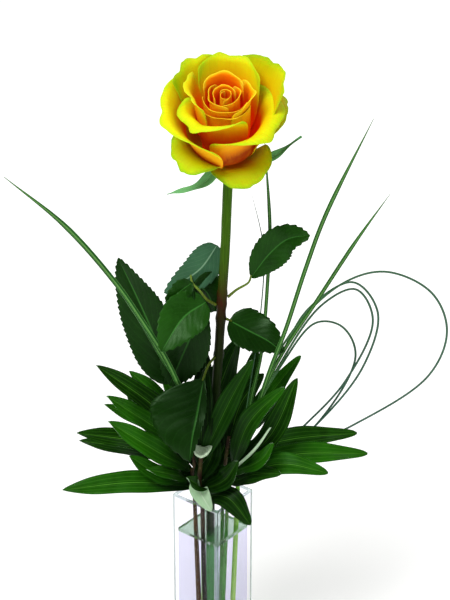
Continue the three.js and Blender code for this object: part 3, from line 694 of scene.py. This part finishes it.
def sweep(name, chains, finish, sides=14, step=2.0, flatness=1.0, knobs=0.0, knob_size=4.0):
    """Tubes along chains of (point, radius) in the bouquet, in millimetres."""
    mesh = bpy.data.meshes.new(name)
    points, edges, radii, shares = [], [], [], []
    for chain in chains:
        start = len(points)
        for index, (point, radius) in enumerate(chain):
            points.append(placed(point))
            radii.append(radius * MM)
            shares.append(index / (len(chain) - 1))
            if index:
                edges.append((start + index - 1, start + index))
    mesh.from_pydata(points, edges, [])
    for label, values in (("radius", radii), ("share", shares)):
        mesh.attributes.new(label, "FLOAT", "POINT").data.foreach_set("value", values)
    facing = TURN @ Vector(FRONT)
    return run_tree(name, SWEEP, mesh, {
        "Sides": sides, "Step": step * MM, "Flatness": flatness, "Facing": facing[:],
        "Knobs": knobs * MM, "Knob Size": knob_size * MM, "Finish": finish})


def chain(curve, radius, steps):
    """(point, radius) along a curve; radius(t) with t 0..1."""
    return [(curve.point(k / steps), radius(k / steps)) for k in range(steps + 1)]


# ------------------------------------------------------------------------ pieces


def piece(name, node, meshes):
    """One piece of the object from meshes, standing for a node of the frame."""
    objects = [new_object(name, mesh) for mesh in meshes]
    whole = objects[0]
    if len(objects) > 1:
        with bpy.context.temp_override(active_object=whole, selected_objects=objects,
                                       selected_editable_objects=objects):
            bpy.ops.object.join()
    whole.name = name
    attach(whole, "root")
    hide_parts(node)
    return whole


# ------------------------------------------------------------------------ leaves

# a blade's half width by the share s of its length, as a share of the greatest
OUTLINES = {
    "lance": lambda s: math.sin(math.pi * s) ** 0.7,
    "ovate": lambda s: 2.31 * s ** 0.45 * (1 - s) ** 0.85,
    "kite": lambda s: math.sin(math.pi * s ** 0.85) ** 0.95,
    "sepal": lambda s: (1 - s) ** 1.6 * (0.8 + 2.2 * s),
}
TOOTH_DEPTH = 1.1  # of the teeth on a rose leaf's margin
QUILT = 0.1  # how far a blade hollows between its side veins
TWIG_LEAF_LOOKS = (0, -0.6, 0.8)
TURNED_OVER = (0, 0.8, -0.5)  # a face that shows the viewer a leaf's underside


def add_leaf(shape, draw, along, width, face=TWIG_LEAF_LOOKS, outline="lance",
             wave=1.0, teeth=0, ribs=0, rows=34, columns=12, halves=(1, 1), tint=None):
    """A leaf blade: along are points from root to tip, width its full width, face the way its
    upper side looks, and halves the shares of the width that its two halves get. It is
    folded to a V along the rib and waved; teeth are the pairs of teeth on its margin, and
    ribs the pairs of side veins that quilt it. tint 0..1 is how light its green is."""
    curve = Spline(along)
    looks = Vector(face).normalized()
    rise = math.tan(math.radians(LEAF_FOLD))
    tilt = draw.uniform(-0.25, 0.25)
    phase = draw.uniform(0, 6.3)

    def surface(s, u):
        spine = curve.point(s)
        forward = curve.heading(s)
        side = forward.cross(looks).normalized()
        up = side.cross(forward)
        off = abs(u)
        share = OUTLINES[outline](s) * halves[u > 0]
        half = 0.5 + width / 2 * share
        reach = 0.0
        if teeth and 0.04 < s < 0.985:
            beat = (s * teeth + 0.15 * math.copysign(1, u)) % 1
            point = beat / 0.75 if beat < 0.75 else (1 - beat) / 0.25
            half += TOOTH_DEPTH * (point - 0.45) * off ** 4
            reach = TOOTH_DEPTH * 0.8 * point * off ** 8
        ripple = wave * math.sin(5 * math.pi * s + 1.5 * math.copysign(1, u)) * u * u
        curl = wave * 0.5 * math.sin(11 * s + phase + 2 * u) * off ** 3 * share
        groove = -0.45 * math.exp(-(u * half / 1.1) ** 2)
        quilt = 0.0
        if ribs:
            quilt = QUILT * math.cos(2 * math.pi * (s - 0.3 * off) * ribs) * share
            quilt *= min(1.0, off * half / 2) * (1 - off ** 3)
        height = off * half * rise * (1 + tilt * u) + ripple + curl + groove + quilt
        return spine + side * (u * half) + up * height + forward * reach

    def thickness(s, u):
        rib = 0.7 * math.exp(-(u * width / 2 / 0.8) ** 2) * (1 - s)
        return LEAF_THICKNESS * (1 - 0.45 * abs(u) ** 4) + rib

    add_sheet(shape, rows, columns, thickness, surface, draw.random() if tint is None else tint)


# ------------------------------------------------------------------------ vase and water


CORNER_STEPS = 8
EDGE_STEPS = 4


def rounded_square(side, corner):
    """Points of a square with rounded corners, anticlockwise seen from above."""
    points = []
    middle = side / 2 - corner
    for quarter, (x, y) in enumerate(((1, 1), (-1, 1), (-1, -1), (1, -1))):
        for step in range(CORNER_STEPS + 1):
            angle = math.pi / 2 * (quarter + step / CORNER_STEPS)
            points.append((x * middle + corner * math.cos(angle),
                           y * middle + corner * math.sin(angle)))
    return points


def lathe_square(name, rings, finish):
    """A closed solid through square rings (side, corner, height), its ends flat."""
    shape = Shape()
    shape.close_rings([[shape.add_point(Vector((x, y, height)) * MM)
                        for x, y in rounded_square(side, corner)]
                       for side, corner, height in rings])
    return shape.mesh(name, [finish], smooth=False)


def quarter_round():
    """Shares (sine, one minus cosine) along a quarter round."""
    for step in range(EDGE_STEPS + 1):
        angle = math.pi / 2 * step / EDGE_STEPS
        yield math.sin(angle), 1 - math.cos(angle)


def make_vase():
    """Up the outside, over the rim and down the hollow to the floor."""
    edge = GLASS_EDGE
    hollow = VASE_SIDE - 2 * VASE_WALL
    tightening = 0.9  # how much an upright corner tightens as the sides draw in at an edge
    rings = [(VASE_SIDE - 2 * edge * (1 - s), VASE_CORNER - edge * (1 - s) * tightening,
              edge * c) for s, c in quarter_round()]
    rings += [(VASE_SIDE - 2 * edge * c, VASE_CORNER - edge * c * tightening,
               VASE_HEIGHT - edge * (1 - s)) for s, c in quarter_round()]
    rings += [(hollow + 2 * edge * (1 - s), VASE_CORNER + edge * (1 - s),
               VASE_HEIGHT - edge * c) for s, c in quarter_round()]
    rings += [(hollow - 2 * edge * c, VASE_CORNER, VASE_FLOOR + edge * (1 - s))
              for s, c in quarter_round()]
    piece("vase_of_glass", "vase", [lathe_square("vase_of_glass", rings, GLASS)])


def make_water():
    side = VASE_SIDE - 2 * VASE_WALL + 2 * WATER_BITE
    edge = GLASS_EDGE
    rings = [(side - 2 * edge * (1 - s), VASE_CORNER, VASE_FLOOR - WATER_BITE + edge * c)
             for s, c in quarter_round()]
    steps = 5
    for share in (step / steps for step in range(steps + 1)):
        rings.append((side - 0.1 - 2 * MENISCUS_WIDTH * share, VASE_CORNER,
                      WATER_LEVEL + MENISCUS_HEIGHT * (1 - share) ** 2))
    piece("still_water", "water", [lathe_square("still_water", rings, WATER)])


# ------------------------------------------------------------------------ stems' routes

# where each stem stands on the vase's floor and where it passes the mouth, and its radius
STEMS = {
    "rose": ((-3, 1), (-2, 0), ROSE_STEM_RADIUS),
    "twig_cut": ((-6, -8), (-9, -15), CUT_TWIG_RADIUS),
    "twig_left": ((-10, 4), (-16, 6), TWIG_RADIUS),
    "twig_left_low": ((-11, -4), (-16, -5), TWIG_RADIUS),
    "twig_right": ((6, -5), (13, -5), TWIG_RADIUS),
    "twig_right_high": ((5, 5), (9, 13), TWIG_RADIUS),
    "twig_back": ((-2, 14), (-4, 19), TWIG_RADIUS),
    "grass_left": ((-9, 11), (-9, 9), SHEATH_RADIUS),
    "grass_right": ((15, 3), (21.5, 5), STOUT_SHEATH_RADIUS),
}


def stem_ends(key):
    """A stem's foot on the vase's floor and its place in the mouth."""
    foot, mouth = STEMS[key][:2]
    return Vector((*foot, STEM_FOOT)), Vector((*mouth, VASE_HEIGHT))


def stem_route(key, above=()):
    """A stem's route: straight from its foot to the vase's mouth, then through above."""
    foot, mouth = stem_ends(key)
    straight = [foot.lerp(mouth, share) for share in (0.3, 0.55, 0.82)]
    return Spline([foot, *straight, mouth, *above])


# ------------------------------------------------------------------------ rose stem and hip


def bloom_axes():
    """The bloom's own axes: right, back and up along its stalk."""
    tilt, lean = math.radians(BLOOM_TILT), math.radians(BLOOM_LEAN)
    up = Vector((math.sin(lean), -math.sin(tilt), math.cos(tilt))).normalized()
    right = (Vector((1, 0, 0)) - up * up.x).normalized()
    return right, up.cross(right), up


RIGHT, BACK, UP = bloom_axes()


def in_bloom(right, back, up):
    """A point in the bloom's own axes brought into the bouquet."""
    return Vector(BLOOM_BASE) + RIGHT * right + BACK * back + UP * up


# azimuth at which each leaves the hip, a point on its way, and its tip
SEPALS = [
    (190, (-8, -14, 489), (-35, -20, 483)),
    (355, (44, 0, 505), (71, 8, 521)),
    (40, (30, 14, 503), (46, 34, 498)),
    (95, (12, 16, 504), (10, 38, 490)),
    (140, (-6, 8, 502), (-18, 28, 487)),
]
ROSE_ABOVE = [(0, 0, 261), (4, -1, 314), (6, -2, 347), (8, -3, 384), (11, -4, 437),
              (12.5, -4, 478)]  # the stem's points above the vase's mouth
LEAF_JOINTS = [297, 333, 367, 380, 389]  # heights at which the leaf stalks leave the stem
JOINT_SWELLING = 0.7
JOINT_REACH = 3.5  # how far the stem is swollen above and below a joint
SEPAL_WIDTH = 11


def make_rose_stem():
    route = stem_route("rose", [*ROSE_ABOVE, in_bloom(0, 0, -HIP_LENGTH)])
    length = route.length

    def radius(t):
        height = route.point(t).z
        swelling = sum(math.exp(-((height - joint) / JOINT_REACH) ** 2) for joint in LEAF_JOINTS)
        return ROSE_STEM_RADIUS - 0.4 + 0.4 * t + JOINT_SWELLING * swelling

    stem = sweep("rose_stem_tube", [chain(route, radius, int(length / 2))], STEM_SKIN,
                 sides=20, step=2.0, knobs=0.5, knob_size=9.0)
    line = Spline([in_bloom(0, 0, -HIP_LENGTH - 2), in_bloom(0, 0, -GAP)])
    hip = sweep("rose_hip", [chain(line, lambda t: HIP_NECK + (HIP_RADIUS - HIP_NECK)
                * math.sin(math.pi * t * 0.75), 16)], STEM_SKIN, sides=24, step=0.8)
    draw = random.Random(SEEDS["sepals"])
    sepals = Shape()
    for azimuth, via, tip in SEPALS:
        angle = math.radians(azimuth)
        root = in_bloom(3 * math.cos(angle), 3 * math.sin(angle), -5)
        add_leaf(sepals, draw, [root, via, tip], SEPAL_WIDTH, outline="sepal", ribs=5, rows=30)
    piece("stem_hip_and_sepals", "rose_stem",
          [stem, hip, sepals.mesh("sepals", [SEPAL_FACE, SEPAL_BACK])])


# ------------------------------------------------------------------------ bloom

# azimuth, lip's radius, lip's height, half width, lean, belly, roll, skew, the share of the
# petal's length by which its lip falls short at the sides, and how far its side with the
# higher azimuth stands out from the axis
PETALS = [
    (210, 3.2, 68, 8, -4, 8, 10, 0, 0.16, 0),
    (20, 5.2, 69, 11, -2, 10, 20, 0, 0.16, 0),
    (120, 8, 71, 14, 0, 12, 30, 0, 0.16, 0),
    (335, 12, 70, 17, 2, 14, 40, 0, 0.16, 0),
    (205, 13, 71, 18, 3, 16, 40, 0, 0.16, 0),
    (97, 16, 77, 19, 5, 18, 40, 0, 0.16, 0),
    (262, 17, 67, 26, 6, 20, 45, 0, 0.16, 0),
    (280, 20, 63, 25, 8, 22, 50, 0, 0.16, 0),
    (354, 22, 70, 22, 10, 24, 50, 0, 0.16, 0),
    (180, 29, 76, 18.5, 10, 25, 70, -3, 0.1, -6.5),
    (80, 36, 75, 27, 19, 28, 60, 0, 0.16, 0),
    (228, 37.5, 62, 36, 36, 30, 100, 11, 0.1, -2),
    (132, 42.5, 73, 20, 31, 32, 50, -4, 0.14, 0),
    (36, 49.4, 69.6, 32.4, 31, 34, 45, -8, 0.1, 0),
    (331, 46, 53, 46, 50, 36, 100, -5, 0.16, -8),
    (194, 49.6, 62, 45, 36, 36, 68, -4, 0.18, -1),
    (88, 47, 50, 31, 66, 34, 50, 0, 0.16, 0),
    (18, 49, 42, 30, 74, 33, 50, 0, 0.16, 0),
    (147, 47, 42, 30, 72, 32, 50, 0, 0.16, 0),
    (299.5, 43, 9, 29, 118, 26, 40, 12, 0.45, 0),
    (217, 48, 24.5, 26, 115, 28, 35, -4, 0.3, 0),
]
PETAL_SEATS = (16, 2)  # heights of the innermost and the outermost petal's root
PETAL_STRAIGHT = 0.86  # share of a petal's length below its curled lip


def petal_profile(radius, height, lean, belly, roll, seat):
    """The petal's outline in the plane through the bloom's axis, as a function of v 0..1
    that gives its distance from the axis and its height."""
    angle, whole_turn = math.radians(lean), math.radians(roll)
    curl = 3.5 + radius * 0.06

    def curled(turn):
        return (curl * (math.cos(angle) - math.cos(angle + turn)),
                curl * (math.sin(angle + turn) - math.sin(angle)))

    whole = curled(whole_turn)
    end_r, end_h = radius - whole[0], height - whole[1]
    reach = 0.42 * math.hypot(end_r, end_h - seat)

    def outline(v):
        t = min(v / PETAL_STRAIGHT, 1)
        a, b, c, d = (1 - t) ** 3, 3 * (1 - t) ** 2 * t, 3 * (1 - t) * t * t, t ** 3
        bent = curled(whole_turn * max(0, (v - PETAL_STRAIGHT) / (1 - PETAL_STRAIGHT)))
        return (a * 2 + b * belly + c * (end_r - reach * math.sin(angle)) + d * end_r + bent[0],
                (a + b) * seat + c * (end_h - reach * math.cos(angle)) + d * end_h + bent[1])

    return outline


def add_petal(shape, draw, index, spec):
    azimuth, radius, height, half_width, lean, belly, roll, skew, fall, spiral = spec
    share = index / (len(PETALS) - 1)
    seat = PETAL_SEATS[0] + (PETAL_SEATS[1] - PETAL_SEATS[0]) * share
    outline = petal_profile(radius, height, lean, belly, roll, seat)
    turn = math.radians(azimuth)
    cos, sin = math.cos(turn), math.sin(turn)
    phase = 1.7 * index
    grown = min(1, radius / 25)
    flutter = [draw.uniform(0, 6.3) for _ in range(3)]
    notch = draw.uniform(-0.25, 0.25)
    age = radius / 50

    def surface(s, u):
        v = s ** 0.8 * (1 - fall * abs(u) ** 2.6)
        r, h = outline(v)
        half = half_width * (0.2 + 0.8 * math.sin(math.pi / 2 * min(1, v / 0.75)))
        wrap = max(4, r * 1.12)
        theta = max(-2.3, min(2.3, u * half / wrap))
        imbrication = (0.06 * radius + 0.6 + spiral) * u
        ruffle = 1.1 * grown * math.sin(2.2 * math.pi * u + phase) * v ** 4
        fine = (0.7 * math.sin(8 * u + flutter[0]) + 0.25 * math.sin(15 * u + flutter[1])) * v ** 9
        fine = (fine + 0.12 * math.sin(31 * u + flutter[2]) * v ** 14) * age
        point = 1.8 * age * math.exp(-((u - notch) / 0.14) ** 2) * v ** 12
        out = r + imbrication * v + ruffle + fine - wrap + wrap * math.cos(theta)
        side = wrap * math.sin(theta)
        edge = point + 0.8 * fine
        rise = h + 0.5 * ruffle + skew * u * v * v + edge * math.cos(math.radians(lean + roll))
        out += edge * math.sin(math.radians(lean + roll))
        return in_bloom(out * cos - side * sin, out * sin + side * cos, rise)

    def thickness(s, u):
        return PETAL_THICKNESS * (1.25 - 0.6 * s)

    columns = 26 if radius < 20 else 40 if half_width < 35 else 56
    add_sheet(shape, 36, columns, thickness, surface, share)


def make_bloom():
    draw = random.Random(SEEDS["petals"])
    petals = Shape()
    for index, spec in enumerate(PETALS):
        add_petal(petals, draw, index, spec)
    piece("rose_petals", "rose_bloom",
          [petals.mesh("rose_petals", [PETAL_BACK, PETAL_FACE])])


# ------------------------------------------------------------------------ rose leaves

TOWARDS_VIEWER = (0, -0.85, 0.5)

ROSE_LEAVES = {
    "rose_leaf_upper_left": {
        "stalk": [(3.2, -4.9, 380), (-4, -8, 386), (-10, -8, 394), (-16, -6, 400),
                  (-17.5, 1, 404)],
        "leaflets": [
            {"along": [(-5, -8, 384), (-23, -18, 375), (-41, -36, 353)], "width": 36,
             "tint": 0.6},
            {"along": [(4, 9, 427), (-9, 4, 409), (-22, 0, 400), (-39, -3, 390)], "width": 27,
             "face": (-0.3, 0.6, -0.7)},
            {"along": [(-16, -7, 401), (-27, -6, 392), (-38, -8, 384)], "width": 15,
             "tint": 0.2},
            {"along": [(-15, -6, 399), (-5, 4, 388), (3, 12, 366)], "width": 30, "tint": 0.0},
            {"along": [(-7, -7, 380), (-17, -8, 354), (-27, -5, 328), (-36, -3, 305)],
             "width": 38, "outline": "lance", "tint": 0.3},
        ],
    },
    "rose_leaf_lower_left": {
        "stalk": [(-1.5, 0.6, 297), (-9, 5, 298), (-21, 7, 298), (-34, 6, 303)],
        "leaflets": [
            {"along": [(-34, 6, 302), (-48, 10, 343), (-62, 8, 381), (-76, -2, 420)],
             "width": 42, "face": (-0.2, -0.8, 0.4), "tint": 0.1},
        ],
    },
    "rose_leaf_front_left": {
        "stalk": [(2.4, -5.2, 333), (-3, -13, 329), (-8, -19, 318)],
        "leaflets": [
            {"along": [(-7, -18, 319), (-12, -32, 293), (-16, -42, 277), (-19, -48, 257)],
             "width": 50, "face": (-0.1, -0.8, 0.6), "outline": "kite",
             "halves": (0.25, 1.55), "tint": 0.0},
        ],
    },
    "rose_leaf_upper_right": {
        "stalk": [(12.9, -2.3, 386), (20, 3, 390), (30, 7, 395), (32, 8, 401)],
        "leaflets": [
            {"along": [(32, 8, 399), (47, 4, 422), (61, -2, 437), (78, -10, 444)],
             "width": 28, "face": (0.1, -0.8, 0.5), "outline": "lance", "tint": 0.5},
        ],
    },
    "rose_leaf_front_right": {
        "stalk": [(11.5, -4, 367), (16, -6, 366)],
        "leaflets": [
            {"along": [(14, -5, 366), (30, -8, 358), (46, -13, 351), (58, -18, 343)],
             "width": 35, "face": (0.1, -0.7, 0.7), "tint": 0.1},
        ],
    },
}


def make_rose_leaves():
    draw = random.Random(SEEDS["rose_leaves"])
    for node, parts in ROSE_LEAVES.items():
        stalk = Spline(parts["stalk"])
        rib = sweep(f"{node}_stalk", [chain(stalk, lambda t: 1.3 - 0.5 * t, 20)], LEAF_STALK,
                    sides=12, step=1.0)
        blades = Shape()
        for leaflet in parts["leaflets"]:
            length = Spline(leaflet["along"]).length
            add_leaf(blades, draw, **{"face": TOWARDS_VIEWER, "outline": "ovate", "wave": 0.8,
                     "teeth": round(length / 5.5), "ribs": 8, "rows": round(length / 5.5) * 7,
                     "columns": 18, **leaflet})
        piece(f"{node}_blades", node,
              [rib, blades.mesh(node, [ROSE_LEAF_FACE, ROSE_LEAF_BACK])])


# ------------------------------------------------------------------------ leafy twigs

# Points above the vase's mouth, then leaves: height on the twig, via, tip, width and, if it
# isn't the usual one, the way that the upper side looks.
TWIGS = {
    "twig_left": ([(-16, 6, 225), (-18, 5, 244)], [
        (242, (-49, -2, 284), (-95, -18, 331), 19),
        (240, (-53, 20, 288), (-71, 27, 303), 17),
        (238, (-51, -14, 273), (-86, -36, 312), 18),
        (234, (-53, 6, 263), (-91, 2, 284), 15),
        (230, (-55, -4, 250), (-113, -22, 270), 18),
        (226, (-54, 9, 235), (-114, 6, 247), 16),
        (232, (-45, 16, 258), (-74, 38, 276), 22),
    ]),
    "twig_left_low": ([(-17, -6, 212), (-18, -8, 228)], [
        (226, (-44, -28, 254), (-84, -52, 297), 20),
        (222, (-42, -18, 226), (-70, -19, 246), 15),
        (216, (-36, -33, 237), (-54, -46, 249), 12),
        (208, (-67, -22, 222), (-126, -34, 222), 20),
        (212, (-50, -2, 212), (-91, 10, 205), 15),
    ]),
    "twig_cut": ([(-11, -19, 223), (-9, -24, 255)], [
        (204, (13, -34, 214), (32, -44, 194), 19),
        (212, (-12, -38, 229), (-21, -46, 241), 13),
        (211, (10, -30, 229), (21, -38, 252), 17),
        (214, (-12, -34, 223), (-1, -45, 208), 14, TURNED_OVER),
        (208, (0, -13, 217), (12, -12, 232), 17),
        (206, (-8, -11, 222), (-4, -9, 243), 15),
        (222, (-2, -12, 238), (4, -10, 262), 16),
        (236, (-8, -15, 292), (-5, -11, 326), 18),
        (240, (15, -20, 300), (33, -22, 338), 17),
    ]),
    "twig_right": ([(15, -6, 214), (17, -6, 232)], [
        (226, (70, -2, 238), (133, 8, 233), 19),
        (218, (60, -22, 240), (97, -28, 235), 19),
        (212, (36, -24, 231), (57, -34, 238), 17),
        (228, (48, -14, 262), (70, -14, 317), 19),
        (230, (32, -26, 284), (59, -32, 318), 18),
        (222, (41, -31, 250), (50, -36, 268), 14),
        (224, (37, -34, 263.5), (48, -36, 283), 1.2, TURNED_OVER),
    ]),
    "twig_right_high": ([(11, 14, 222), (14, 15, 246)], [
        (226, (66, 20, 240), (125, 28, 242), 19),
        (240, (46, 28, 276), (75, 36, 313), 16),
        (238, (42, 36, 258), (58, 56, 262), 15),
        (242, (29, 28, 284), (38, 42, 318), 17),
        (234, (30, 44, 240), (48, 72, 236), 16),
        (232, (24, 22, 274), (43, 24, 302), 20),
    ]),
    "twig_back": ([(-6, 22, 222), (-6, 24, 248)], [
        (244, (-8, 26, 284), (-5, 30, 318), 18),
        (240, (6, 34, 284), (22, 32, 332), 24),
        (236, (-26, 40, 262), (-44, 58, 282), 17),
        (230, (-8, 52, 252), (-14, 84, 262), 17),
        (226, (14, 54, 246), (26, 84, 252), 17),
        (212, (2, 31, 244), (8, 36, 290), 22),
        (210, (-20, 28, 236), (-30, 32, 276), 22),
        (218, (-30, 40, 224), (-60, 58, 216), 17),
        (205, (-13, 30, 222), (-19, 34, 242), 22),
        (207, (8, 31, 221), (13, 33, 240), 26),
    ]),
}


TWIG_BARKS = {"twig_cut": DARK_BARK, "twig_right": GREEN_BARK, "twig_right_high": GREEN_BARK}
CUT_HEAD = ((-9.4, -23, 248), (-9, -24.4, 256.5))  # foot and top of the cut twig's pale head
CUT_HEAD_NECK = 2.2


def add_cut_head(shape):
    """A flared head with a rounded lip and a hollow top, higher at two sides."""
    foot, top = (Vector(point) for point in CUT_HEAD)
    up = (top - foot).normalized()
    right = (Vector((1, 0, 0)) - up * up.x).normalized()
    back = up.cross(right)
    height = (top - foot).length
    wide, thin = CUT_HEAD_RADIUS, CUT_HEAD_NECK
    profile = [(thin + (wide - thin) * math.sin(math.pi / 2 * k / 8), height * k / 8)
               for k in range(9)]
    profile += [(wide - 0.5, height + 0.4), (wide - 1.2, height + 0.3),
                (wide * 0.6, height - 0.5), (wide * 0.3, height - 0.9)]
    sides = 28
    loops = []
    for radius, rise in profile:
        saddle = 1.5 * (radius / wide) ** 2 * rise / height
        ring = []
        for k in range(sides):
            angle = 2 * math.pi * k / sides
            uneven = 1 + 0.07 * math.sin(3 * angle + 1) + 0.04 * math.sin(7 * angle)
            spot = foot + up * (rise + saddle * math.cos(2 * angle))
            spot += (right * math.cos(angle) + back * math.sin(angle)) * radius * uneven
            ring.append(shape.add_point(placed(spot), rise / height))
        loops.append(ring)
    shape.close_rings(loops)


def make_twigs():
    draw = random.Random(SEEDS["twig_leaves"])
    for node, (above, leaves) in TWIGS.items():
        curve = stem_route(node, above)
        radius = STEMS[node][2]
        wood = sweep(f"{node}_wood", [chain(curve, lambda t: radius * (1 - 0.25 * t), 90)],
                     TWIG_BARKS.get(node, BARK), sides=14, step=1.5, knobs=0.5, knob_size=5.0)
        blades = Shape()
        for height, via, tip, width, *face in leaves:
            add_leaf(blades, draw, [curve.at_height(height), via, tip], width, *face, ribs=9,
                     rows=44, columns=14)
        meshes = [wood, blades.mesh(node, [TWIG_LEAF_FACE, TWIG_LEAF_BACK])]
        if node == "twig_cut":
            head = Shape()
            add_cut_head(head)
            meshes.append(head.mesh("cut_head", [CUT_WOOD]))
        piece(f"{node}_sprig", node, meshes)


# ------------------------------------------------------------------------ grasses

# Blades: width, and points above the vase's mouth.
GRASSES = {
    "grass_left": [
        (4.6, [(-11, 7, 235), (-15, -1, 263), (-24, -13, 299), (-38, -23, 340), (-57, -29, 378),
               (-76, -32, 411), (-114, -38, 463), (-159, -45, 507)]),
        (3.6, [(-10, 8, 240), (-17, 1, 278), (-28, -9, 310), (-42, -17, 339), (-60, -24, 379),
               (-89, -28, 429)]),
    ],
    "grass_right": [
        (3.6, [(24, 4, 236), (34, -2, 270), (47, -18, 325), (60, -26, 369), (75, -22, 420),
               (90, -16, 463), (126, -10, 542)]),
        (3.4, [(26, 4, 236), (44, 2, 300), (60, 0, 337), (85, 0, 380), (116, 0, 434),
               (142, -2, 476)]),
        (3, [(24, 6, 236), (33, 9, 287), (41, 10, 329), (46, 12, 401), (47, 12, 440),
               (42, 14, 516)]),
        (1, [(24, 8, 240), (31, 14, 290), (40, 18, 359), (42, 20, 420), (31, 20, 473)]),
        (1.9, [(28, 4, 246), (60, 6, 340), (105, 8, 392), (141, 8, 404), (180, 10, 385),
               (196, 14, 347), (183, 18, 303), (122, 30, 249), (70, 34, 220), (27, 9, 208),
               (21.6, 5.1, 203)]),
        (1.9, [(30, 8, 250), (60, 12, 331), (81, 14, 369), (116, 16, 391), (138, 20, 362),
               (128, 24, 309), (90, 34, 247), (60, 32, 220), (25.5, 8.5, 209), (21.2, 5.5, 203.5)]),
        (1.9, [(27, 10, 246), (57, 18, 314), (92, 22, 368), (119, 24, 381), (135, 28, 351),
               (114, 32, 291), (77, 36, 242), (50, 30, 217), (25, 8, 206.5), (21.3, 5, 201.8)]),
        (1.9, [(26, 12, 246), (59, 24, 311), (87, 28, 348), (109, 32, 343), (122, 34, 314),
               (91, 38, 246), (56, 32, 217), (27, 7.2, 206), (21.6, 4.6, 201.2)]),
    ],
}


def make_grasses():
    for node, blades in GRASSES.items():
        foot, mouth = stem_ends(node)
        neck = foot.lerp(mouth, 0.93)
        radius = STEMS[node][2]
        sheath = sweep(f"{node}_sheath", [chain(stem_route(node),
                       lambda t: radius * (1 - 0.2 * t), 60)], GRASS_SHEATH, sides=12,
                       step=2.0)
        meshes = [sheath]
        for width, points in blades:
            curve = Spline([neck, mouth, *points])
            flatness = max(0.9, width * 0.35) / width
            finish = GRASS_BLADE if width > 2 else GRASS_LOOP
            meshes.append(sweep(f"{node}_blade", [chain(
                curve, lambda t: width / 2 * min(1, 0.1 + (1 - t) * 5), 160)], finish,
                sides=12, step=1.6, flatness=flatness))
        piece(f"{node}_tuft", node, meshes)


# ------------------------------------------------------------------------ camera and light

VIEW_HEIGHT_ANGLE = 24.8  # degrees that the camera looks down
VIEW_FOCUS = 1750  # focal length in pixels of the 450 x 600 picture
VIEW_DISTANCE = 1511  # mm, along the camera's line of sight to the vase's mouth
VASE_MOUTH_PIXEL = (212.8, 491.5)  # where the middle of the vase's mouth shows in it
PICTURE = (450, 600)
FILM_WIDTH = 36.0


def make_camera():
    down = math.radians(VIEW_HEIGHT_ANGLE)
    across = (VASE_MOUTH_PIXEL[0] - PICTURE[0] / 2) / VIEW_FOCUS
    above = (PICTURE[1] / 2 - VASE_MOUTH_PIXEL[1]) / VIEW_FOCUS
    forward = Vector((0, math.cos(down), -math.sin(down)))
    upward = Vector((0, math.sin(down), math.cos(down)))
    ray = forward + Vector((1, 0, 0)) * across + upward * above
    eye = Vector((0, 0, VASE_HEIGHT)) - ray * VIEW_DISTANCE
    camera = new_object("camera", bpy.data.cameras.new("camera"))
    camera.data.sensor_width = FILM_WIDTH
    camera.data.lens = VIEW_FOCUS / PICTURE[1] * FILM_WIDTH
    camera.data.clip_end = 50
    camera.matrix_world = Matrix.Translation(placed(eye)) @ TURN @ Matrix.Rotation(
        math.radians(90 - VIEW_HEIGHT_ANGLE), 4, "X")
    bpy.context.scene.camera = camera


# Soft square lights: place, the height of the point on the bouquet's axis that each is aimed
# at, side, and power in watts.
LIGHTS = {
    "key": ((-600, -1000, 1900), 400, 800, 34),
    "fill": ((1300, -700, 900), 380, 900, 5),
    "rim": ((300, 1400, 1500), 380, 900, 9),
}
FLOOR_HALF = 20  # m, far enough that the floor's edge is never seen


def make_lights():
    for name, (place, target, side, power) in LIGHTS.items():
        lamp = bpy.data.lights.new(name, "AREA")
        lamp.shape = "SQUARE"
        lamp.size = side * MM
        lamp.energy = power
        aim = placed((0, 0, target)) - placed(place)
        new_object(name, lamp).matrix_world = (
            Matrix.Translation(placed(place)) @ aim.to_track_quat("-Z", "Y").to_matrix().to_4x4())


def make_floor():
    floor = Shape()
    corners = [floor.add_point(Vector((x * FLOOR_HALF, y * FLOOR_HALF, 0)))
               for x, y in ((-1, -1), (1, -1), (1, 1), (-1, 1))]
    floor.add_face(corners)
    new_object("pale_floor", floor.mesh("pale_floor", [PALE_FLOOR]))


def make_world():
    """White surroundings, brighter as the camera sees them than in their light on the part."""
    world = bpy.data.worlds.new("studio")
    world.use_nodes = True
    tree = world.node_tree
    rays = add_node(tree, "ShaderNodeLightPath")
    seen = add_node(tree, "ShaderNodeMapRange", {"Value": rays.outputs["Is Camera Ray"],
                    "To Min": WORLD_LIGHT[0], "To Max": WORLD_LIGHT[1]})
    backdrop = tree.nodes["Background"]
    feed(tree, backdrop.inputs["Color"], colour("ffffff"))
    feed(tree, backdrop.inputs["Strength"], seen.outputs[0])
    bpy.context.scene.world = world
    bpy.context.scene.view_settings.view_transform = "Standard"


make_camera()
make_lights()
make_floor()
make_world()
make_vase()
make_water()
make_rose_stem()
make_bloom()
make_rose_leaves()
make_twigs()
make_grasses()
